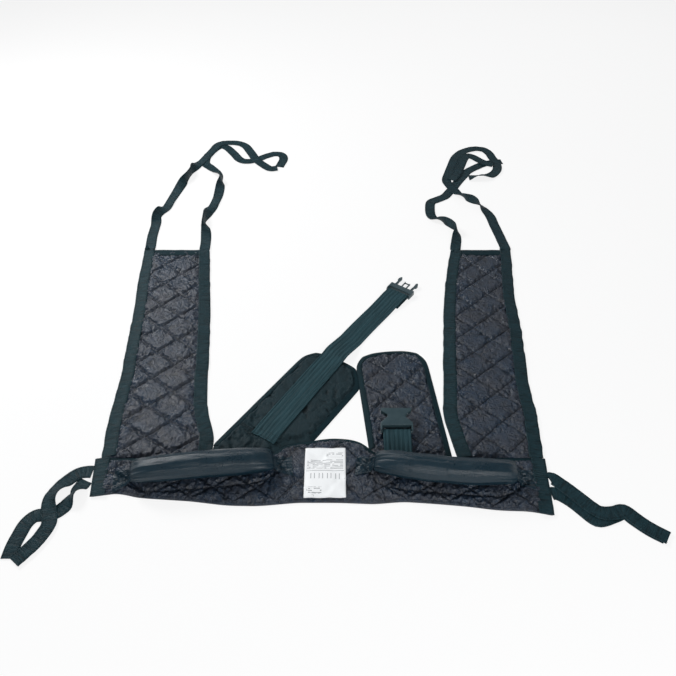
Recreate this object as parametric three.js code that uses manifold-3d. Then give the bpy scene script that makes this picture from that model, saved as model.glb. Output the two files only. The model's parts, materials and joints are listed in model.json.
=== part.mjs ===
// A padded transfer belt with two grips, two leg panels and a buckled waist fastening.
// It lies open and flat, with its underside on the ground.
// Millimetres, +X to the right, +Y from the belt towards the leg panels, +Z up.
// The origin is on the underside of the belt, below the middle of its care label.

import * as THREE from 'three';
import { mergeVertices } from 'three/addons/utils/BufferGeometryUtils.js';
import Module from 'manifold-3d';

const wasm = await Module();
wasm.setup();

// Sheet goods and the clearances between them
const gap = 0.3;
const cloth = 0.8;
const webbing = 1.8;
const waddingDepth = 2.5;
const quiltPuff = 5;
const quiltDiagonal = 75;
const legWebbing = 25;
const waistWebbing = 50;
const seamGap = 0.6;
const overrun = 20;

// Belt
const beltLength = 810;
const wingDepth = 95;
const hingeLine = 20;
const humpHalfWidth = 95;
const humpRise = 45;
const humpCentre = -3;
const beltBinding = 10;
const beltHem = 6;

// Leg panels
const legLength = 628;
const legWidth = 200;
const leftLegCentre = -308;
const rightLegCentre = 317;
const legHem = 17;

// Waist pads
const padWidth = 146;
const padLength = 330;
const padCorner = 44;
const padBinding = 10;
const leftPadTipX = 29;
const leftPadTipY = 266;
const leftPadDegrees = 55.6;
const rightPadTipX = 130;
const rightPadTipY = 293;
const rightPadDegrees = 95.5;

// Grips
const gripDiameter = 48;
const gripSpan = 250;
const gripEndWidth = 32;
const gripEndHeight = 10;
const gripCover = 1;
const gripWebbing = 25;
const gripTab = 34;
const gripAxisY = -16;
const leftGripX = -215;
const leftGripDegrees = 6;
const rightGripX = 211;
const rightGripDegrees = -5.5;
const rightGripBow = -10;

// Care label
const labelWidth = 73;
const labelLength = 103;
const labelSheet = 0.5;

// Buckle for the waist webbing
const buckleWall = 2.6;
const buckleCheek = 3;
const buckleClearance = 2;
const buckleBar = 4.5;
const buckleSlot = 7;
const socketHeight = 7.5;
const socketDepth = 36;
const maleHeight = 10;
const maleBlock = 13;
const prongLength = 31;
const prongHeight = 6;
const railSpread = 12;
const railWidth = 2;
const railHeight = 4;
const femaleTiltDegrees = 12;

// Straps
const legStrapReach = 600;
const endStrapReach = 200;
const sewnLength = 252;
const strapStart = -5;
const strapDrift = -16;
const freeLength = 250;
const freeDegrees = 54.8;
const freeBow = 4;
const hookTail = 42;
const tabShift = 2;
const tabLength = 52;
const tabTail = 28;

// Counts of the grids and rings that the soft pieces are drawn with
const diamondCells = 4;
const beltColumns = 6;
const legColumns = 6;
const smoothPadColumns = 4;
const quiltedPadColumns = 6;
const plainStep = 3;
const gripSides = 12;
const barSides = 12;

// Sizes that follow from the ones above
const waddingFloor = cloth + gap;
const waddingTop = waddingFloor + waddingDepth;
const faceFloor = waddingTop + gap;
const panelTop = faceFloor + cloth + quiltPuff;
const rimLow = waddingFloor + cloth + gap;
const rimHigh = faceFloor + cloth + gap;
const topFoot = panelTop + gap;
const layer = webbing + gap;
const quiltCell = quiltDiagonal / diamondCells;
const buckleWidth = waistWebbing + 2 * (buckleClearance + buckleCheek);
const socketWidth = waistWebbing - 2 * buckleCheek;
const prongReach = socketWidth / 2 + buckleCheek;
const leftPadHeading = THREE.MathUtils.degToRad(leftPadDegrees);
const rightPadHeading = THREE.MathUtils.degToRad(rightPadDegrees);
const freeHeading = THREE.MathUtils.degToRad(freeDegrees);

// The value of a table of [place, value] rows at a place between its rows
function along(table, place) {
  let k = 0;
  while (k < table.length - 2 && place > table[k + 1][0]) k += 1;
  const [start, first] = table[k];
  const [end, last] = table[k + 1];
  return THREE.MathUtils.mapLinear(place, start, end, first, last);
}

// A closed body from points and triangles, turned so that its faces point out
function body(points, triangles) {
  let volume = 0;
  for (const [a, b, c] of triangles) {
    const cross = new THREE.Vector3().crossVectors(points[b], points[c]);
    volume += points[a].dot(cross);
  }
  const turned = volume < 0 ? triangles.map(([a, b, c]) => [a, c, b]) : triangles;
  const geometry = new THREE.BufferGeometry();
  geometry.setFromPoints(points);
  geometry.setIndex(turned.flat());
  return geometry;
}

// A slab over a grid of [x, y, low, high] points, whose cells are cut along the quilting lines
function slab(grid) {
  const rows = grid.length;
  const columns = grid[0].length;
  const points = [];
  for (const face of [3, 2]) {
    for (const row of grid) {
      for (const cell of row) points.push(new THREE.Vector3(cell[0], cell[1], cell[face]));
    }
  }
  const top = (i, j) => j * columns + i;
  const under = (i, j) => rows * columns + top(i, j);
  const triangles = [];
  for (let j = 0; j < rows - 1; j += 1) {
    for (let i = 0; i < columns - 1; i += 1) {
      const around = [[i, j], [i + 1, j], [i + 1, j + 1], [i, j + 1]];
      const first = (i + j) % 2 === 0 ? 0 : 1;
      const order = around.map((_, k) => around[(k + first) % around.length]);
      const [a, b, c, d] = order;
      triangles.push([top(...a), top(...b), top(...c)], [top(...a), top(...c), top(...d)]);
      triangles.push([under(...a), under(...c), under(...b)], [under(...a), under(...d), under(...c)]);
    }
  }
  const rim = [];
  for (let i = 0; i < columns - 1; i += 1) rim.push([i, 0]);
  for (let j = 0; j < rows - 1; j += 1) rim.push([columns - 1, j]);
  for (let i = columns - 1; i > 0; i -= 1) rim.push([i, rows - 1]);
  for (let j = rows - 1; j > 0; j -= 1) rim.push([0, j]);
  rim.forEach((here, k) => {
    const next = rim[(k + 1) % rim.length];
    triangles.push([under(...here), under(...next), top(...next)]);
    triangles.push([under(...here), top(...next), top(...here)]);
  });
  return body(points, triangles);
}

// A body through a row of rings, each with as many points, closed at both ends.
// Its opposite sides are cut along matching diagonals, so a twisted one keeps its thickness.
function sweep(rings) {
  const sides = rings[0].length;
  const points = rings.flat();
  const triangles = [];
  for (let k = 0; k < rings.length - 1; k += 1) {
    for (let i = 0; i < sides; i += 1) {
      const a = k * sides + i;
      const b = k * sides + (i + 1) % sides;
      if (i < sides / 2) triangles.push([a, b, b + sides], [a, b + sides, a + sides]);
      else triangles.push([a, b, a + sides], [b, b + sides, a + sides]);
    }
  }
  const last = (rings.length - 1) * sides;
  for (let i = 1; i < sides - 1; i += 1) {
    triangles.push([0, i + 1, i], [last, last + i, last + i + 1]);
  }
  return body(points, triangles);
}

// An open-ended sleeve between a row of outer rings and a row of inner rings
function sleeve(outer, inner) {
  const sides = outer[0].length;
  const points = [...outer.flat(), ...inner.flat()];
  const inside = outer.length * sides;
  const triangles = [];
  const quad = (a, b, c, d) => triangles.push([a, b, c], [a, c, d]);
  for (let i = 0; i < sides; i += 1) {
    const next = (i + 1) % sides;
    for (let k = 0; k < outer.length - 1; k += 1) {
      const a = k * sides + i;
      const b = k * sides + next;
      quad(a, b, b + sides, a + sides);
      quad(inside + a, inside + a + sides, inside + b + sides, inside + b);
    }
    const last = (outer.length - 1) * sides;
    quad(i, inside + i, inside + next, next);
    quad(last + i, last + next, inside + last + next, inside + last + i);
  }
  return body(points, triangles);
}

// The four corners of webbing about a point of its middle line
function webbingRing(centre, across, through, width) {
  return [[-1, -1], [1, -1], [1, 1], [-1, 1]].map(([a, b]) => centre.clone()
    .addScaledVector(across, a * width / 2)
    .addScaledVector(through, b * webbing / 2));
}

// Rings of webbing along stops of [x, y, foot, turn]: foot is the height that it lies on,
// and turn, in whole turns, rolls it on to its edge
function webbingAlong(stops, width) {
  const last = stops.length - 1;
  return stops.map(([x, y, foot, turn], k) => {
    const before = stops[Math.max(k - 1, 0)];
    const after = stops[Math.min(k + 1, last)];
    const into = new THREE.Vector2(x - before[0], y - before[1]).normalize();
    const out = new THREE.Vector2(after[0] - x, after[1] - y).normalize();
    const heading = new THREE.Vector2().addVectors(into, out).normalize();
    const mitre = k === 0 || k === last ? 1 : Math.max(heading.dot(into), Math.SQRT1_2);
    const angle = 2 * Math.PI * (turn ?? 0);
    const flat = Math.cos(angle);
    const edge = Math.sin(angle);
    const across = new THREE.Vector3(-heading.y * flat / mitre, heading.x * flat / mitre, edge);
    const through = new THREE.Vector3(heading.y * edge, -heading.x * edge, flat);
    const rise = (Math.abs(edge) * width + Math.abs(flat) * webbing) / 2;
    return webbingRing(new THREE.Vector3(x, y, foot + rise), across, through, width);
  });
}

// Rings of webbing over a round bar, down past it and back under it.
// The bar's middle is at the given point, and the webbing comes in along the heading.
function webbingRound(bar, heading, width, tail) {
  const ahead = new THREE.Vector3(Math.cos(heading), Math.sin(heading), 0);
  const across = new THREE.Vector3(-ahead.y, ahead.x, 0);
  const level = buckleBar / 2 + gap + webbing / 2;
  const bend = level - webbing / 2;
  const turns = [
    [-buckleBar / 2, level, 0, 1],
    [bend, level, Math.SQRT1_2, 1],
    [level, bend, 1, Math.SQRT1_2],
    [level, -bend, 1, -Math.SQRT1_2],
    [bend, -level, Math.SQRT1_2, -1],
    [-tail, -level, 0, -1],
  ];
  return turns.map(([reach, height, out, up]) => {
    const offset = ahead.clone().multiplyScalar(reach).setZ(height);
    const through = ahead.clone().multiplyScalar(out).setZ(up).normalize();
    return webbingRing(bar.clone().add(offset), across, through, width);
  });
}

// Joins and cuts
function solid(geometry) {
  const plain = geometry.clone();
  plain.deleteAttribute('normal');
  plain.deleteAttribute('uv');
  const merged = mergeVertices(plain);
  return new wasm.Manifold(new wasm.Mesh({
    numProp: 3,
    vertProperties: new Float32Array(merged.attributes.position.array),
    triVerts: new Uint32Array(merged.index.array),
  }));
}

function shapeOf(manifold) {
  const mesh = manifold.getMesh();
  const geometry = new THREE.BufferGeometry();
  geometry.setAttribute('position', new THREE.BufferAttribute(mesh.vertProperties, mesh.numProp));
  geometry.setIndex(new THREE.BufferAttribute(mesh.triVerts, 1));
  return geometry;
}

function box(low, high) {
  const size = low.map((value, axis) => high[axis] - value);
  const geometry = new THREE.BoxGeometry(...size);
  geometry.translate(...low.map((value, axis) => value + size[axis] / 2));
  return geometry;
}

// A prism with the given outline, between two heights
function prism(outline, low, high) {
  const shape = new THREE.Shape(outline.map(([x, y]) => new THREE.Vector2(x, y)));
  const geometry = new THREE.ExtrudeGeometry(shape, { depth: high - low, bevelEnabled: false });
  geometry.translate(0, 0, low);
  return geometry;
}

// A panel lies between a left and a right edge, which are functions of the share of its length.
// Its margins, in millimetres, carry the bindings and the edge webbing.
function panelLines(panel) {
  const near = panel.near / panel.length;
  const far = 1 - panel.far / panel.length;
  const shares = [0];
  for (let j = 0; j <= panel.rows; j += 1) shares.push(THREE.MathUtils.lerp(near, far, j / panel.rows));
  return [...shares, 1];
}

// The point that lies a share of the way across the padded middle of a panel, or on its edges
function acrossPanel(panel, share) {
  const left = new THREE.Vector2(...panel.left(share));
  const right = new THREE.Vector2(...panel.right(share));
  const width = left.distanceTo(right);
  const inner = panel.margin / width;
  const outer = 1 - (panel.rightMargin ?? panel.margin) / width;
  const places = [0];
  for (let i = 0; i <= panel.columns; i += 1) {
    places.push(THREE.MathUtils.lerp(inner, outer, i / panel.columns));
  }
  return [...places, 1].map((place) => left.clone().lerp(right, place).toArray());
}

// How far a point of the padded grid stands up, from 0 on a quilting line to 1 in mid diamond
const shoulderShare = 0.9;
function diamondRise(i, j) {
  const crest = diamondCells / 2;
  const rising = THREE.MathUtils.euclideanModulo(i + j, diamondCells);
  const falling = THREE.MathUtils.euclideanModulo(i - j, diamondCells);
  if (rising === 0 || falling === 0) return 0;
  return rising === crest && falling === crest ? 1 : shoulderShare;
}

// Outer cloth: flat in the margins, raised over the wadding
function faceOf(panel, rise) {
  const shares = panelLines(panel);
  const grid = shares.map((share, j) => acrossPanel(panel, share).map(([x, y], i) => {
    const onRim = i === 0 || j === 0 || i === panel.columns + 2 || j === panel.rows + 2;
    const inside = i > 1 && j > 1 && i < panel.columns + 1 && j < panel.rows + 1;
    const low = onRim ? waddingFloor : faceFloor + (inside ? quiltPuff * rise(i - 1, j - 1) : 0);
    return [x, y, low, low + cloth];
  }));
  return slab(grid);
}

// The rows and columns that a plain layer of a panel needs
function plainGrid(panel, inset, low, high) {
  const shares = panelLines(panel);
  const kept = shares.filter((_, j) => (inset ? j > 0 && j < shares.length - 1 : true));
  const thinned = kept.filter((_, j) => j % panel.step === 0 || j === kept.length - 1);
  return thinned.map((share) => {
    const across = acrossPanel(panel, share);
    const first = inset ? 1 : 0;
    const last = across.length - 1 - first;
    return [across[first], across[last]].map(([x, y]) => [x, y, low, high]);
  });
}

function liningOf(panel) {
  return slab(plainGrid(panel, false, 0, cloth));
}

function waddingOf(panel) {
  return slab(plainGrid(panel, true, waddingFloor, waddingTop));
}

// Webbing or binding over one margin of a panel, from its rim to its padded middle.
// Where the ends of the panel have bands of their own, it runs between them.
function edging(panel, side, thickness, between) {
  const shares = panelLines(panel);
  const kept = between ? shares.slice(1, -1) : shares;
  const slack = between ? gap / panel.length : 0;
  const grid = kept.map((share, j) => {
    const end = j === 0 ? slack : 0;
    const start = j === kept.length - 1 ? slack : 0;
    const across = acrossPanel(panel, share + end - start);
    const rim = side === 'left' ? across[0] : across[across.length - 1];
    const inner = side === 'left' ? across[1] : across[across.length - 2];
    const pair = [[...rim, rimLow, rimLow + thickness], [...inner, rimHigh, rimHigh + thickness]];
    return side === 'left' ? pair : pair.reverse();
  });
  return slab(grid);
}

// Webbing or binding over the near or the far end of a panel, between its edgings or right across
function endBand(panel, end, thickness, between) {
  const shares = panelLines(panel);
  const pair = end === 'near' ? shares.slice(0, 2) : shares.slice(-2);
  const grid = pair.map((share, k) => {
    const across = acrossPanel(panel, share);
    const kept = between ? across.slice(1, -1) : across;
    const base = (end === 'near') === (k === 0) ? rimLow : rimHigh;
    return kept.filter((_, i) => i % panel.step === 0 || i === kept.length - 1)
      .map(([x, y]) => [x, y, base, base + thickness]);
  });
  return slab(grid);
}

// Materials
const finishes = {
  webbing: { color: 0x21353a, roughness: 0.75 },
  quilt: { color: 0x3f424e, roughness: 0.55 },
  smooth: { color: 0x2b353b, roughness: 0.55 },
  lining: { color: 0x2c3036, roughness: 0.8 },
  wadding: { color: 0xd8d6cf, roughness: 0.9 },
  binding: { color: 0x26313a, roughness: 0.7 },
  grip: { color: 0x2f3d49, roughness: 0.45 },
  foam: { color: 0x55595e, roughness: 0.9 },
  label: { color: 0xe9ecee, roughness: 0.5 },
  plastic: { color: 0x41525b, roughness: 0.4 },
};

const sling = new THREE.Group();

function add(parent, name, geometry, finish) {
  const mesh = new THREE.Mesh(geometry, new THREE.MeshStandardMaterial(finish));
  mesh.name = name;
  parent.add(mesh);
}

// Belt: its rows run from the left end to the right end, and its columns from front to back
const frontEdgeShares = [
  [0, 0.84], [0.06, 0.76], [0.105, 0.86], [0.22, 0.93], [0.3, 1.02], [0.37, 1.03], [0.45, 0.96],
  [0.54, 0.96], [0.62, 0.99], [0.68, 0.94], [0.745, 0.98], [0.82, 1.04], [0.885, 1.12], [0.955, 1.14],
  [1, 1.23],
];
const humpShares = [
  [-1.06, 0], [-1, 0.06], [-0.86, 0.5], [-0.64, 0.74], [-0.33, 0.82], [0, 0.97], [0.22, 1], [0.5, 0.95],
  [0.72, 0.8], [0.9, 0.5], [1, 0.06], [1.06, 0],
];
const frontEndShares = [-0.501, 0.479];
const backEndShares = [-0.514, 0.491];

function beltBackAt(x) {
  const share = THREE.MathUtils.clamp(
    (x - humpCentre) / humpHalfWidth,
    humpShares[0][0],
    humpShares[humpShares.length - 1][0],
  );
  return hingeLine - gap + humpRise * along(humpShares, share);
}

const belt = {
  length: beltLength,
  rows: 2 * Math.round((beltLength - 2 * legWebbing) / quiltCell / 2),
  columns: beltColumns,
  step: 1,
  margin: beltHem,
  rightMargin: beltBinding,
  near: legWebbing,
  far: legWebbing,
  left: (share) => {
    const x = beltLength * THREE.MathUtils.lerp(...frontEndShares, share);
    return [x, hingeLine - wingDepth * along(frontEdgeShares, share)];
  },
  right: (share) => {
    const x = beltLength * THREE.MathUtils.lerp(...backEndShares, share);
    return [x, beltBackAt(x)];
  },
};

add(sling, 'belt_lining', liningOf(belt), finishes.lining);
add(sling, 'belt_wadding', waddingOf(belt), finishes.wadding);
add(sling, 'belt_quilted_face', faceOf(belt, diamondRise), finishes.quilt);
const topBinding = edging(belt, 'right', cloth, true);
add(sling, 'belt_top_binding', topBinding, finishes.binding);
add(sling, 'left_end_band', endBand(belt, 'near', webbing, false), finishes.webbing);
add(sling, 'right_end_band', endBand(belt, 'far', webbing, false), finishes.webbing);

const labelFront = belt.left(1 / 2)[1] + beltHem;
const labelBox = box(
  [-labelWidth / 2, labelFront, topFoot],
  [labelWidth / 2, labelFront + labelLength, topFoot + labelSheet],
);
add(sling, 'care_label', labelBox, finishes.label);

// Leg panels: the edges are tables of [share of the length, share of the width from the centre]
const leftLegShares = {
  left: [
    [0, -0.485], [0.04, -0.5], [0.12, -0.53], [0.22, -0.545], [0.3, -0.53], [0.4, -0.57],
    [0.55, -0.6], [0.64, -0.63], [0.79, -0.685], [1, -0.74],
  ],
  right: [
    [0, 0.5], [0.08, 0.505], [0.13, 0.435], [0.18, 0.38], [0.22, 0.37], [0.36, 0.32],
    [0.5, 0.28], [0.71, 0.19], [1, 0.065],
  ],
};
const rightLegShares = {
  left: [
    [0, -0.385], [0.08, -0.425], [0.145, -0.475], [0.18, -0.45], [0.34, -0.395],
    [0.57, -0.315], [0.81, -0.205], [1, -0.075],
  ],
  right: [
    [0, 0.39], [0.12, 0.425], [0.2, 0.45], [0.24, 0.425], [0.38, 0.465], [0.52, 0.515],
    [0.7, 0.54], [1, 0.665],
  ],
};

function legPanel(centre, shares) {
  const edge = (table) => (share) => [
    centre + legWidth * along(table, share),
    hingeLine + gap + legLength * share,
  ];
  return {
    length: legLength,
    rows: 2 * Math.round((legLength - legHem) / quiltCell / 2),
    columns: legColumns,
    step: plainStep,
    margin: legWebbing,
    near: quiltCell / 2,
    far: legHem,
    left: edge(shares.left),
    right: edge(shares.right),
  };
}

function addLeg(side, panel, outerSide, innerSide) {
  const leg = new THREE.Group();
  sling.add(leg);
  add(leg, `${side}_leg_lining`, liningOf(panel), finishes.lining);
  add(leg, `${side}_leg_wadding`, waddingOf(panel), finishes.wadding);
  add(leg, `${side}_leg_quilted_face`, faceOf(panel, diamondRise), finishes.quilt);
  add(leg, `${side}_leg_outer_webbing`, edging(panel, outerSide, webbing, false), finishes.webbing);
  add(leg, `${side}_leg_inner_webbing`, edging(panel, innerSide, webbing, false), finishes.webbing);
  const between = { ...panel, margin: panel.margin + gap };
  add(leg, `${side}_leg_top_binding`, endBand(between, 'far', cloth, true), finishes.binding);
}

const leftLeg = legPanel(leftLegCentre, leftLegShares);
const rightLeg = legPanel(rightLegCentre, rightLegShares);
addLeg('left', leftLeg, 'left', 'right');
addLeg('right', rightLeg, 'right', 'left');

// Waist pads: rounded rectangles about their heading, trimmed where the belt and the legs lie
function padPanel(tipX, tipY, heading, columns, grow) {
  const forward = new THREE.Vector2(Math.cos(heading), Math.sin(heading));
  const aside = new THREE.Vector2(forward.y, -forward.x);
  const corner = padCorner + grow;
  const place = (share, side) => {
    const back = padLength * (1 - share);
    const round = Math.max(0, corner - back);
    const half = padWidth / 2 + grow - corner + Math.sqrt(corner ** 2 - round ** 2);
    return [
      tipX - forward.x * (back - grow) + aside.x * side * half,
      tipY - forward.y * (back - grow) + aside.y * side * half,
    ];
  };
  return {
    length: padLength,
    rows: 2 * Math.round((padLength - 2 * padBinding) / quiltCell / 2),
    columns,
    step: 1,
    margin: padBinding,
    near: padBinding,
    far: padBinding,
    left: (share) => place(share, -1),
    right: (share) => place(share, 1),
  };
}

// The ground that the belt and a leg panel take up, with a seam's clearance round it
const beltSteps = panelLines(belt);
function taken(leg, legInner) {
  const back = beltSteps.map((share) => belt.right(share));
  const outline = [
    [-beltLength, -beltLength], [beltLength, -beltLength], [beltLength, hingeLine + gap],
    ...back.slice().reverse().map(([x, y]) => [
      x + Math.sign(x - humpCentre) * (y > hingeLine ? seamGap : 0),
      Math.max(y + seamGap, hingeLine + gap),
    ]),
    [-beltLength, hingeLine + gap],
  ];
  const low = -overrun;
  const high = panelTop + overrun;
  const ground = solid(prism(outline, low, high));
  const edge = panelLines(leg).map((share) => leg[legInner](share));
  const away = legInner === 'right' ? 1 : -1;
  const strip = [
    ...edge.map(([x, y]) => [x + away * seamGap, y]),
    ...edge.slice().reverse().map(([x, y]) => [x - away * legWidth, y]),
  ];
  return ground.add(solid(prism(strip, low, high)));
}

function trimmed(geometry, cut) {
  return shapeOf(solid(geometry).subtract(cut));
}

// A smooth pad: crowned across, with shallow folds that run in from one side
const foldEvery = 3;
const foldShares = [0.72, 0.98, 1, 0.84, 0.66];
const dipShares = [0.72, 0.95, 1, 0.68, 0.42];
function smoothRise(i, j) {
  return (j % foldEvery === 0 ? dipShares : foldShares)[i];
}

function padBindingStrip(panel) {
  const shares = panelLines(panel);
  const pairs = [];
  const last = shares.length - 1;
  const rows = shares.map((share) => acrossPanel(panel, share));
  const end = rows[0].length - 1;
  for (let j = 0; j < last; j += 1) pairs.push([rows[j][0], rows[j][1]]);
  pairs.push([rows[last][0], rows[last - 1][1]]);
  for (let i = 2; i < end - 1; i += 1) pairs.push([rows[last][i], rows[last - 1][i]]);
  pairs.push([rows[last][end], rows[last - 1][end - 1]]);
  for (let j = last - 1; j >= 0; j -= 1) pairs.push([rows[j][end], rows[j][end - 1]]);
  return slab(pairs.map(([rim, inner]) => [
    [...rim, rimLow, rimLow + cloth],
    [...inner, rimHigh, rimHigh + cloth],
  ]));
}

function addPad(side, panel, rise, faceName, faceFinish, cut) {
  const pad = new THREE.Group();
  sling.add(pad);
  add(pad, `${side}_pad_lining`, trimmed(liningOf(panel), cut), finishes.lining);
  add(pad, `${side}_pad_wadding`, trimmed(waddingOf(panel), cut), finishes.wadding);
  add(pad, `${side}_pad_${faceName}`, trimmed(faceOf(panel, rise), cut), faceFinish);
  add(pad, `${side}_pad_binding`, trimmed(padBindingStrip(panel), cut), finishes.binding);
  return pad;
}

const leftPad = padPanel(leftPadTipX, leftPadTipY, leftPadHeading, smoothPadColumns, 0);
const rightPad = padPanel(rightPadTipX, rightPadTipY, rightPadHeading, quiltedPadColumns, 0);
const aroundRightPad = padPanel(rightPadTipX, rightPadTipY, rightPadHeading, quiltedPadColumns, gap);
const aroundLines = panelLines(aroundRightPad);
const rightPadGround = prism([
  ...aroundLines.map(aroundRightPad.left),
  ...aroundLines.slice().reverse().map(aroundRightPad.right),
], -overrun, panelTop + overrun);
const leftCut = taken(leftLeg, 'right').add(solid(rightPadGround));
const rightCut = taken(rightLeg, 'left');
const leftPadGroup = addPad('left', leftPad, smoothRise, 'smooth_face', finishes.smooth, leftCut);
const rightPadGroup = addPad('right', rightPad, diamondRise, 'quilted_face', finishes.quilt, rightCut);

// Waist strap: sewn along the left pad, then free as far as the buckle's bar
const forward = new THREE.Vector2(Math.cos(leftPadHeading), Math.sin(leftPadHeading));
const aside = new THREE.Vector2(forward.y, -forward.x);
function onLeftPad(back, across) {
  return [
    leftPadTipX - forward.x * back + aside.x * across,
    leftPadTipY - forward.y * back + aside.y * across,
  ];
}
const sewnStops = [
  [...onLeftPad(sewnLength, strapStart), topFoot],
  [...onLeftPad(0, strapDrift), topFoot],
];
const sewnStrap = sweep(webbingAlong(sewnStops, waistWebbing));
add(leftPadGroup, 'waist_strap_sewn', sewnStrap, finishes.webbing);

const freeForward = new THREE.Vector2(Math.cos(freeHeading), Math.sin(freeHeading));
const freeStart = onLeftPad(-gap, strapDrift);
function onFreeStrap(reach) {
  const bow = freeBow * Math.sin(Math.PI * reach / freeLength);
  return [
    freeStart[0] + freeForward.x * reach - freeForward.y * bow,
    freeStart[1] + freeForward.y * reach + freeForward.x * bow,
  ];
}
const maleBarHeight = layer + buckleBar / 2;
const overBar = maleBarHeight + buckleBar / 2 + gap;
const dropShares = [0.06, 0.28, 0.45];
const freeStops = [
  [...onFreeStrap(0), topFoot],
  [...onFreeStrap(freeLength * dropShares[0]), topFoot],
  [...onFreeStrap(freeLength * dropShares[1]), 0],
  [...onFreeStrap(freeLength * dropShares[2]), 0],
  [...onFreeStrap(freeLength - 2 * hookTail), 0],
  [...onFreeStrap(freeLength - hookTail), layer + webbing],
  [...onFreeStrap(freeLength - hookTail / 2), overBar],
];
const maleBar = new THREE.Vector3(...onFreeStrap(freeLength), maleBarHeight);
const freeStrap = sweep([
  ...webbingAlong(freeStops, waistWebbing),
  ...webbingRound(maleBar, freeHeading, waistWebbing, hookTail),
]);
add(sling, 'waist_strap_free', freeStrap, finishes.webbing);

// Buckle halves: the bar lies along X at the origin of each, and the buckle reaches along +Y
const halfWidth = buckleWidth / 2;
const cheekInner = waistWebbing / 2 + buckleClearance;
const slotEnd = buckleBar / 2 + buckleSlot;

function buckleBack(low, high) {
  const bar = new THREE.CylinderGeometry(buckleBar / 2, buckleBar / 2, buckleWidth, barSides);
  bar.rotateZ(Math.PI / 2);
  const cheeks = [-1, 1].map((side) => {
    const near = Math.min(side * cheekInner, side * halfWidth);
    const far = Math.max(side * cheekInner, side * halfWidth);
    return solid(box([near, 0, low], [far, slotEnd + buckleWall, high]));
  });
  return solid(bar).add(cheeks[0]).add(cheeks[1]);
}

const railShare = 0.72;
const maleLow = -maleBarHeight;
const maleHigh = maleLow + maleHeight;
const blockEnd = slotEnd + maleBlock;
const male = new THREE.Group();
male.position.copy(maleBar);
male.rotation.z = freeHeading - Math.PI / 2;
sling.add(male);
const block = solid(box([-halfWidth, slotEnd, maleLow], [halfWidth, blockEnd, maleHigh]));
const prongLow = (maleLow + maleHigh - prongHeight) / 2;
const railEnd = blockEnd + prongLength * railShare;
const rails = [-1, 1].map((side) => {
  const near = (side * railSpread - railWidth) / 2;
  return solid(box(
    [near, blockEnd - buckleWall, prongLow],
    [near + railWidth, railEnd, prongLow + railHeight],
  ));
});
const railTip = solid(box(
  [-railSpread / 2, railEnd - buckleWall, prongLow],
  [railSpread / 2, railEnd, prongLow + railHeight / 2],
));
const maleBody = buckleBack(maleLow, maleHigh).add(block).add(rails[0]).add(rails[1]).add(railTip);
add(male, 'male_buckle_body', shapeOf(maleBody), finishes.plastic);

// A prong's outline in shares of its reach to the side and of its length
const prongShares = [
  [0.77, 0], [0.83, 0], [0.9, 0.08], [0.88, 0.5], [1, 0.57], [1.02, 0.76], [0.92, 0.97], [0.8, 1],
  [0.73, 0.9], [0.75, 0.5], [0.71, 0.08],
];
for (const side of [-1, 1]) {
  const outline = prongShares.map(([x, y]) => [
    side * x * prongReach,
    blockEnd + gap + y * prongLength,
  ]);
  const ordered = side < 0 ? outline.reverse() : outline;
  const prong = prism(ordered, prongLow, prongLow + prongHeight);
  add(male, `${side < 0 ? 'left' : 'right'}_prong`, prong, finishes.plastic);
}

// Female half on its webbing tab, tilted up off the right pad
const femaleTilt = THREE.MathUtils.degToRad(femaleTiltDegrees);
const tabX = rightPadTipX + tabShift;
const femaleBarHeight = topFoot + layer + buckleBar / 2;
const femaleBar = new THREE.Vector3(tabX, hingeLine + tabLength, femaleBarHeight);
const tabStart = hingeLine + seamGap + gap;
const overFemaleBar = femaleBarHeight + buckleBar / 2 + gap;
const tabStops = [
  [tabX, tabStart, topFoot],
  [tabX, tabStart + tabLength / 4, topFoot + layer],
  [tabX, hingeLine + tabLength - tabLength / 4, overFemaleBar],
];
const tab = sweep([
  ...webbingAlong(tabStops, waistWebbing),
  ...webbingRound(femaleBar, Math.PI / 2, waistWebbing, tabTail),
]);
add(rightPadGroup, 'female_buckle_tab', tab, finishes.webbing);

const female = new THREE.Group();
female.position.copy(femaleBar);
female.rotation.x = femaleTilt;
sling.add(female);
const femaleLow = gap - webbing - buckleBar / 2;
const femaleHigh = femaleLow + socketHeight + 2 * buckleWall;
const mouth = slotEnd + socketDepth;

// The housing's outline in shares of its half width and of its depth from the slot to the mouth
const housingShares = [
  [1, 0], [1, 0.16], [0.82, 0.3], [0.56, 0.5], [0.56, 0.62], [0.82, 0.78], [0.95, 0.84], [0.95, 1],
];
const rightSide = housingShares.map(([x, y]) => [x * halfWidth, slotEnd + y * socketDepth]);
const housingOutline = [...rightSide, ...rightSide.slice().reverse().map(([x, y]) => [-x, y])];
const socket = solid(box(
  [-socketWidth / 2, slotEnd + buckleWall, femaleLow + buckleWall],
  [socketWidth / 2, mouth + buckleWall, femaleHigh - buckleWall],
));
const housing = solid(prism(housingOutline, femaleLow, femaleHigh)).subtract(socket);
const femaleBody = buckleBack(femaleLow, femaleHigh).add(housing).subtract(socket);
add(female, 'female_buckle_housing', shapeOf(femaleBody), finishes.plastic);

// How far a grip's flattened ends stand up towards its middle line, as a share
const endLiftShare = 0.25;

// How full a grip is, in shares, at places from one end to the other
const gripShares = [
  [-0.5, 0], [-0.475, 0.45], [-0.43, 0.8], [-0.34, 0.97], [0, 1], [0.34, 0.97], [0.43, 0.8],
  [0.475, 0.45], [0.5, 0],
];

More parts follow.
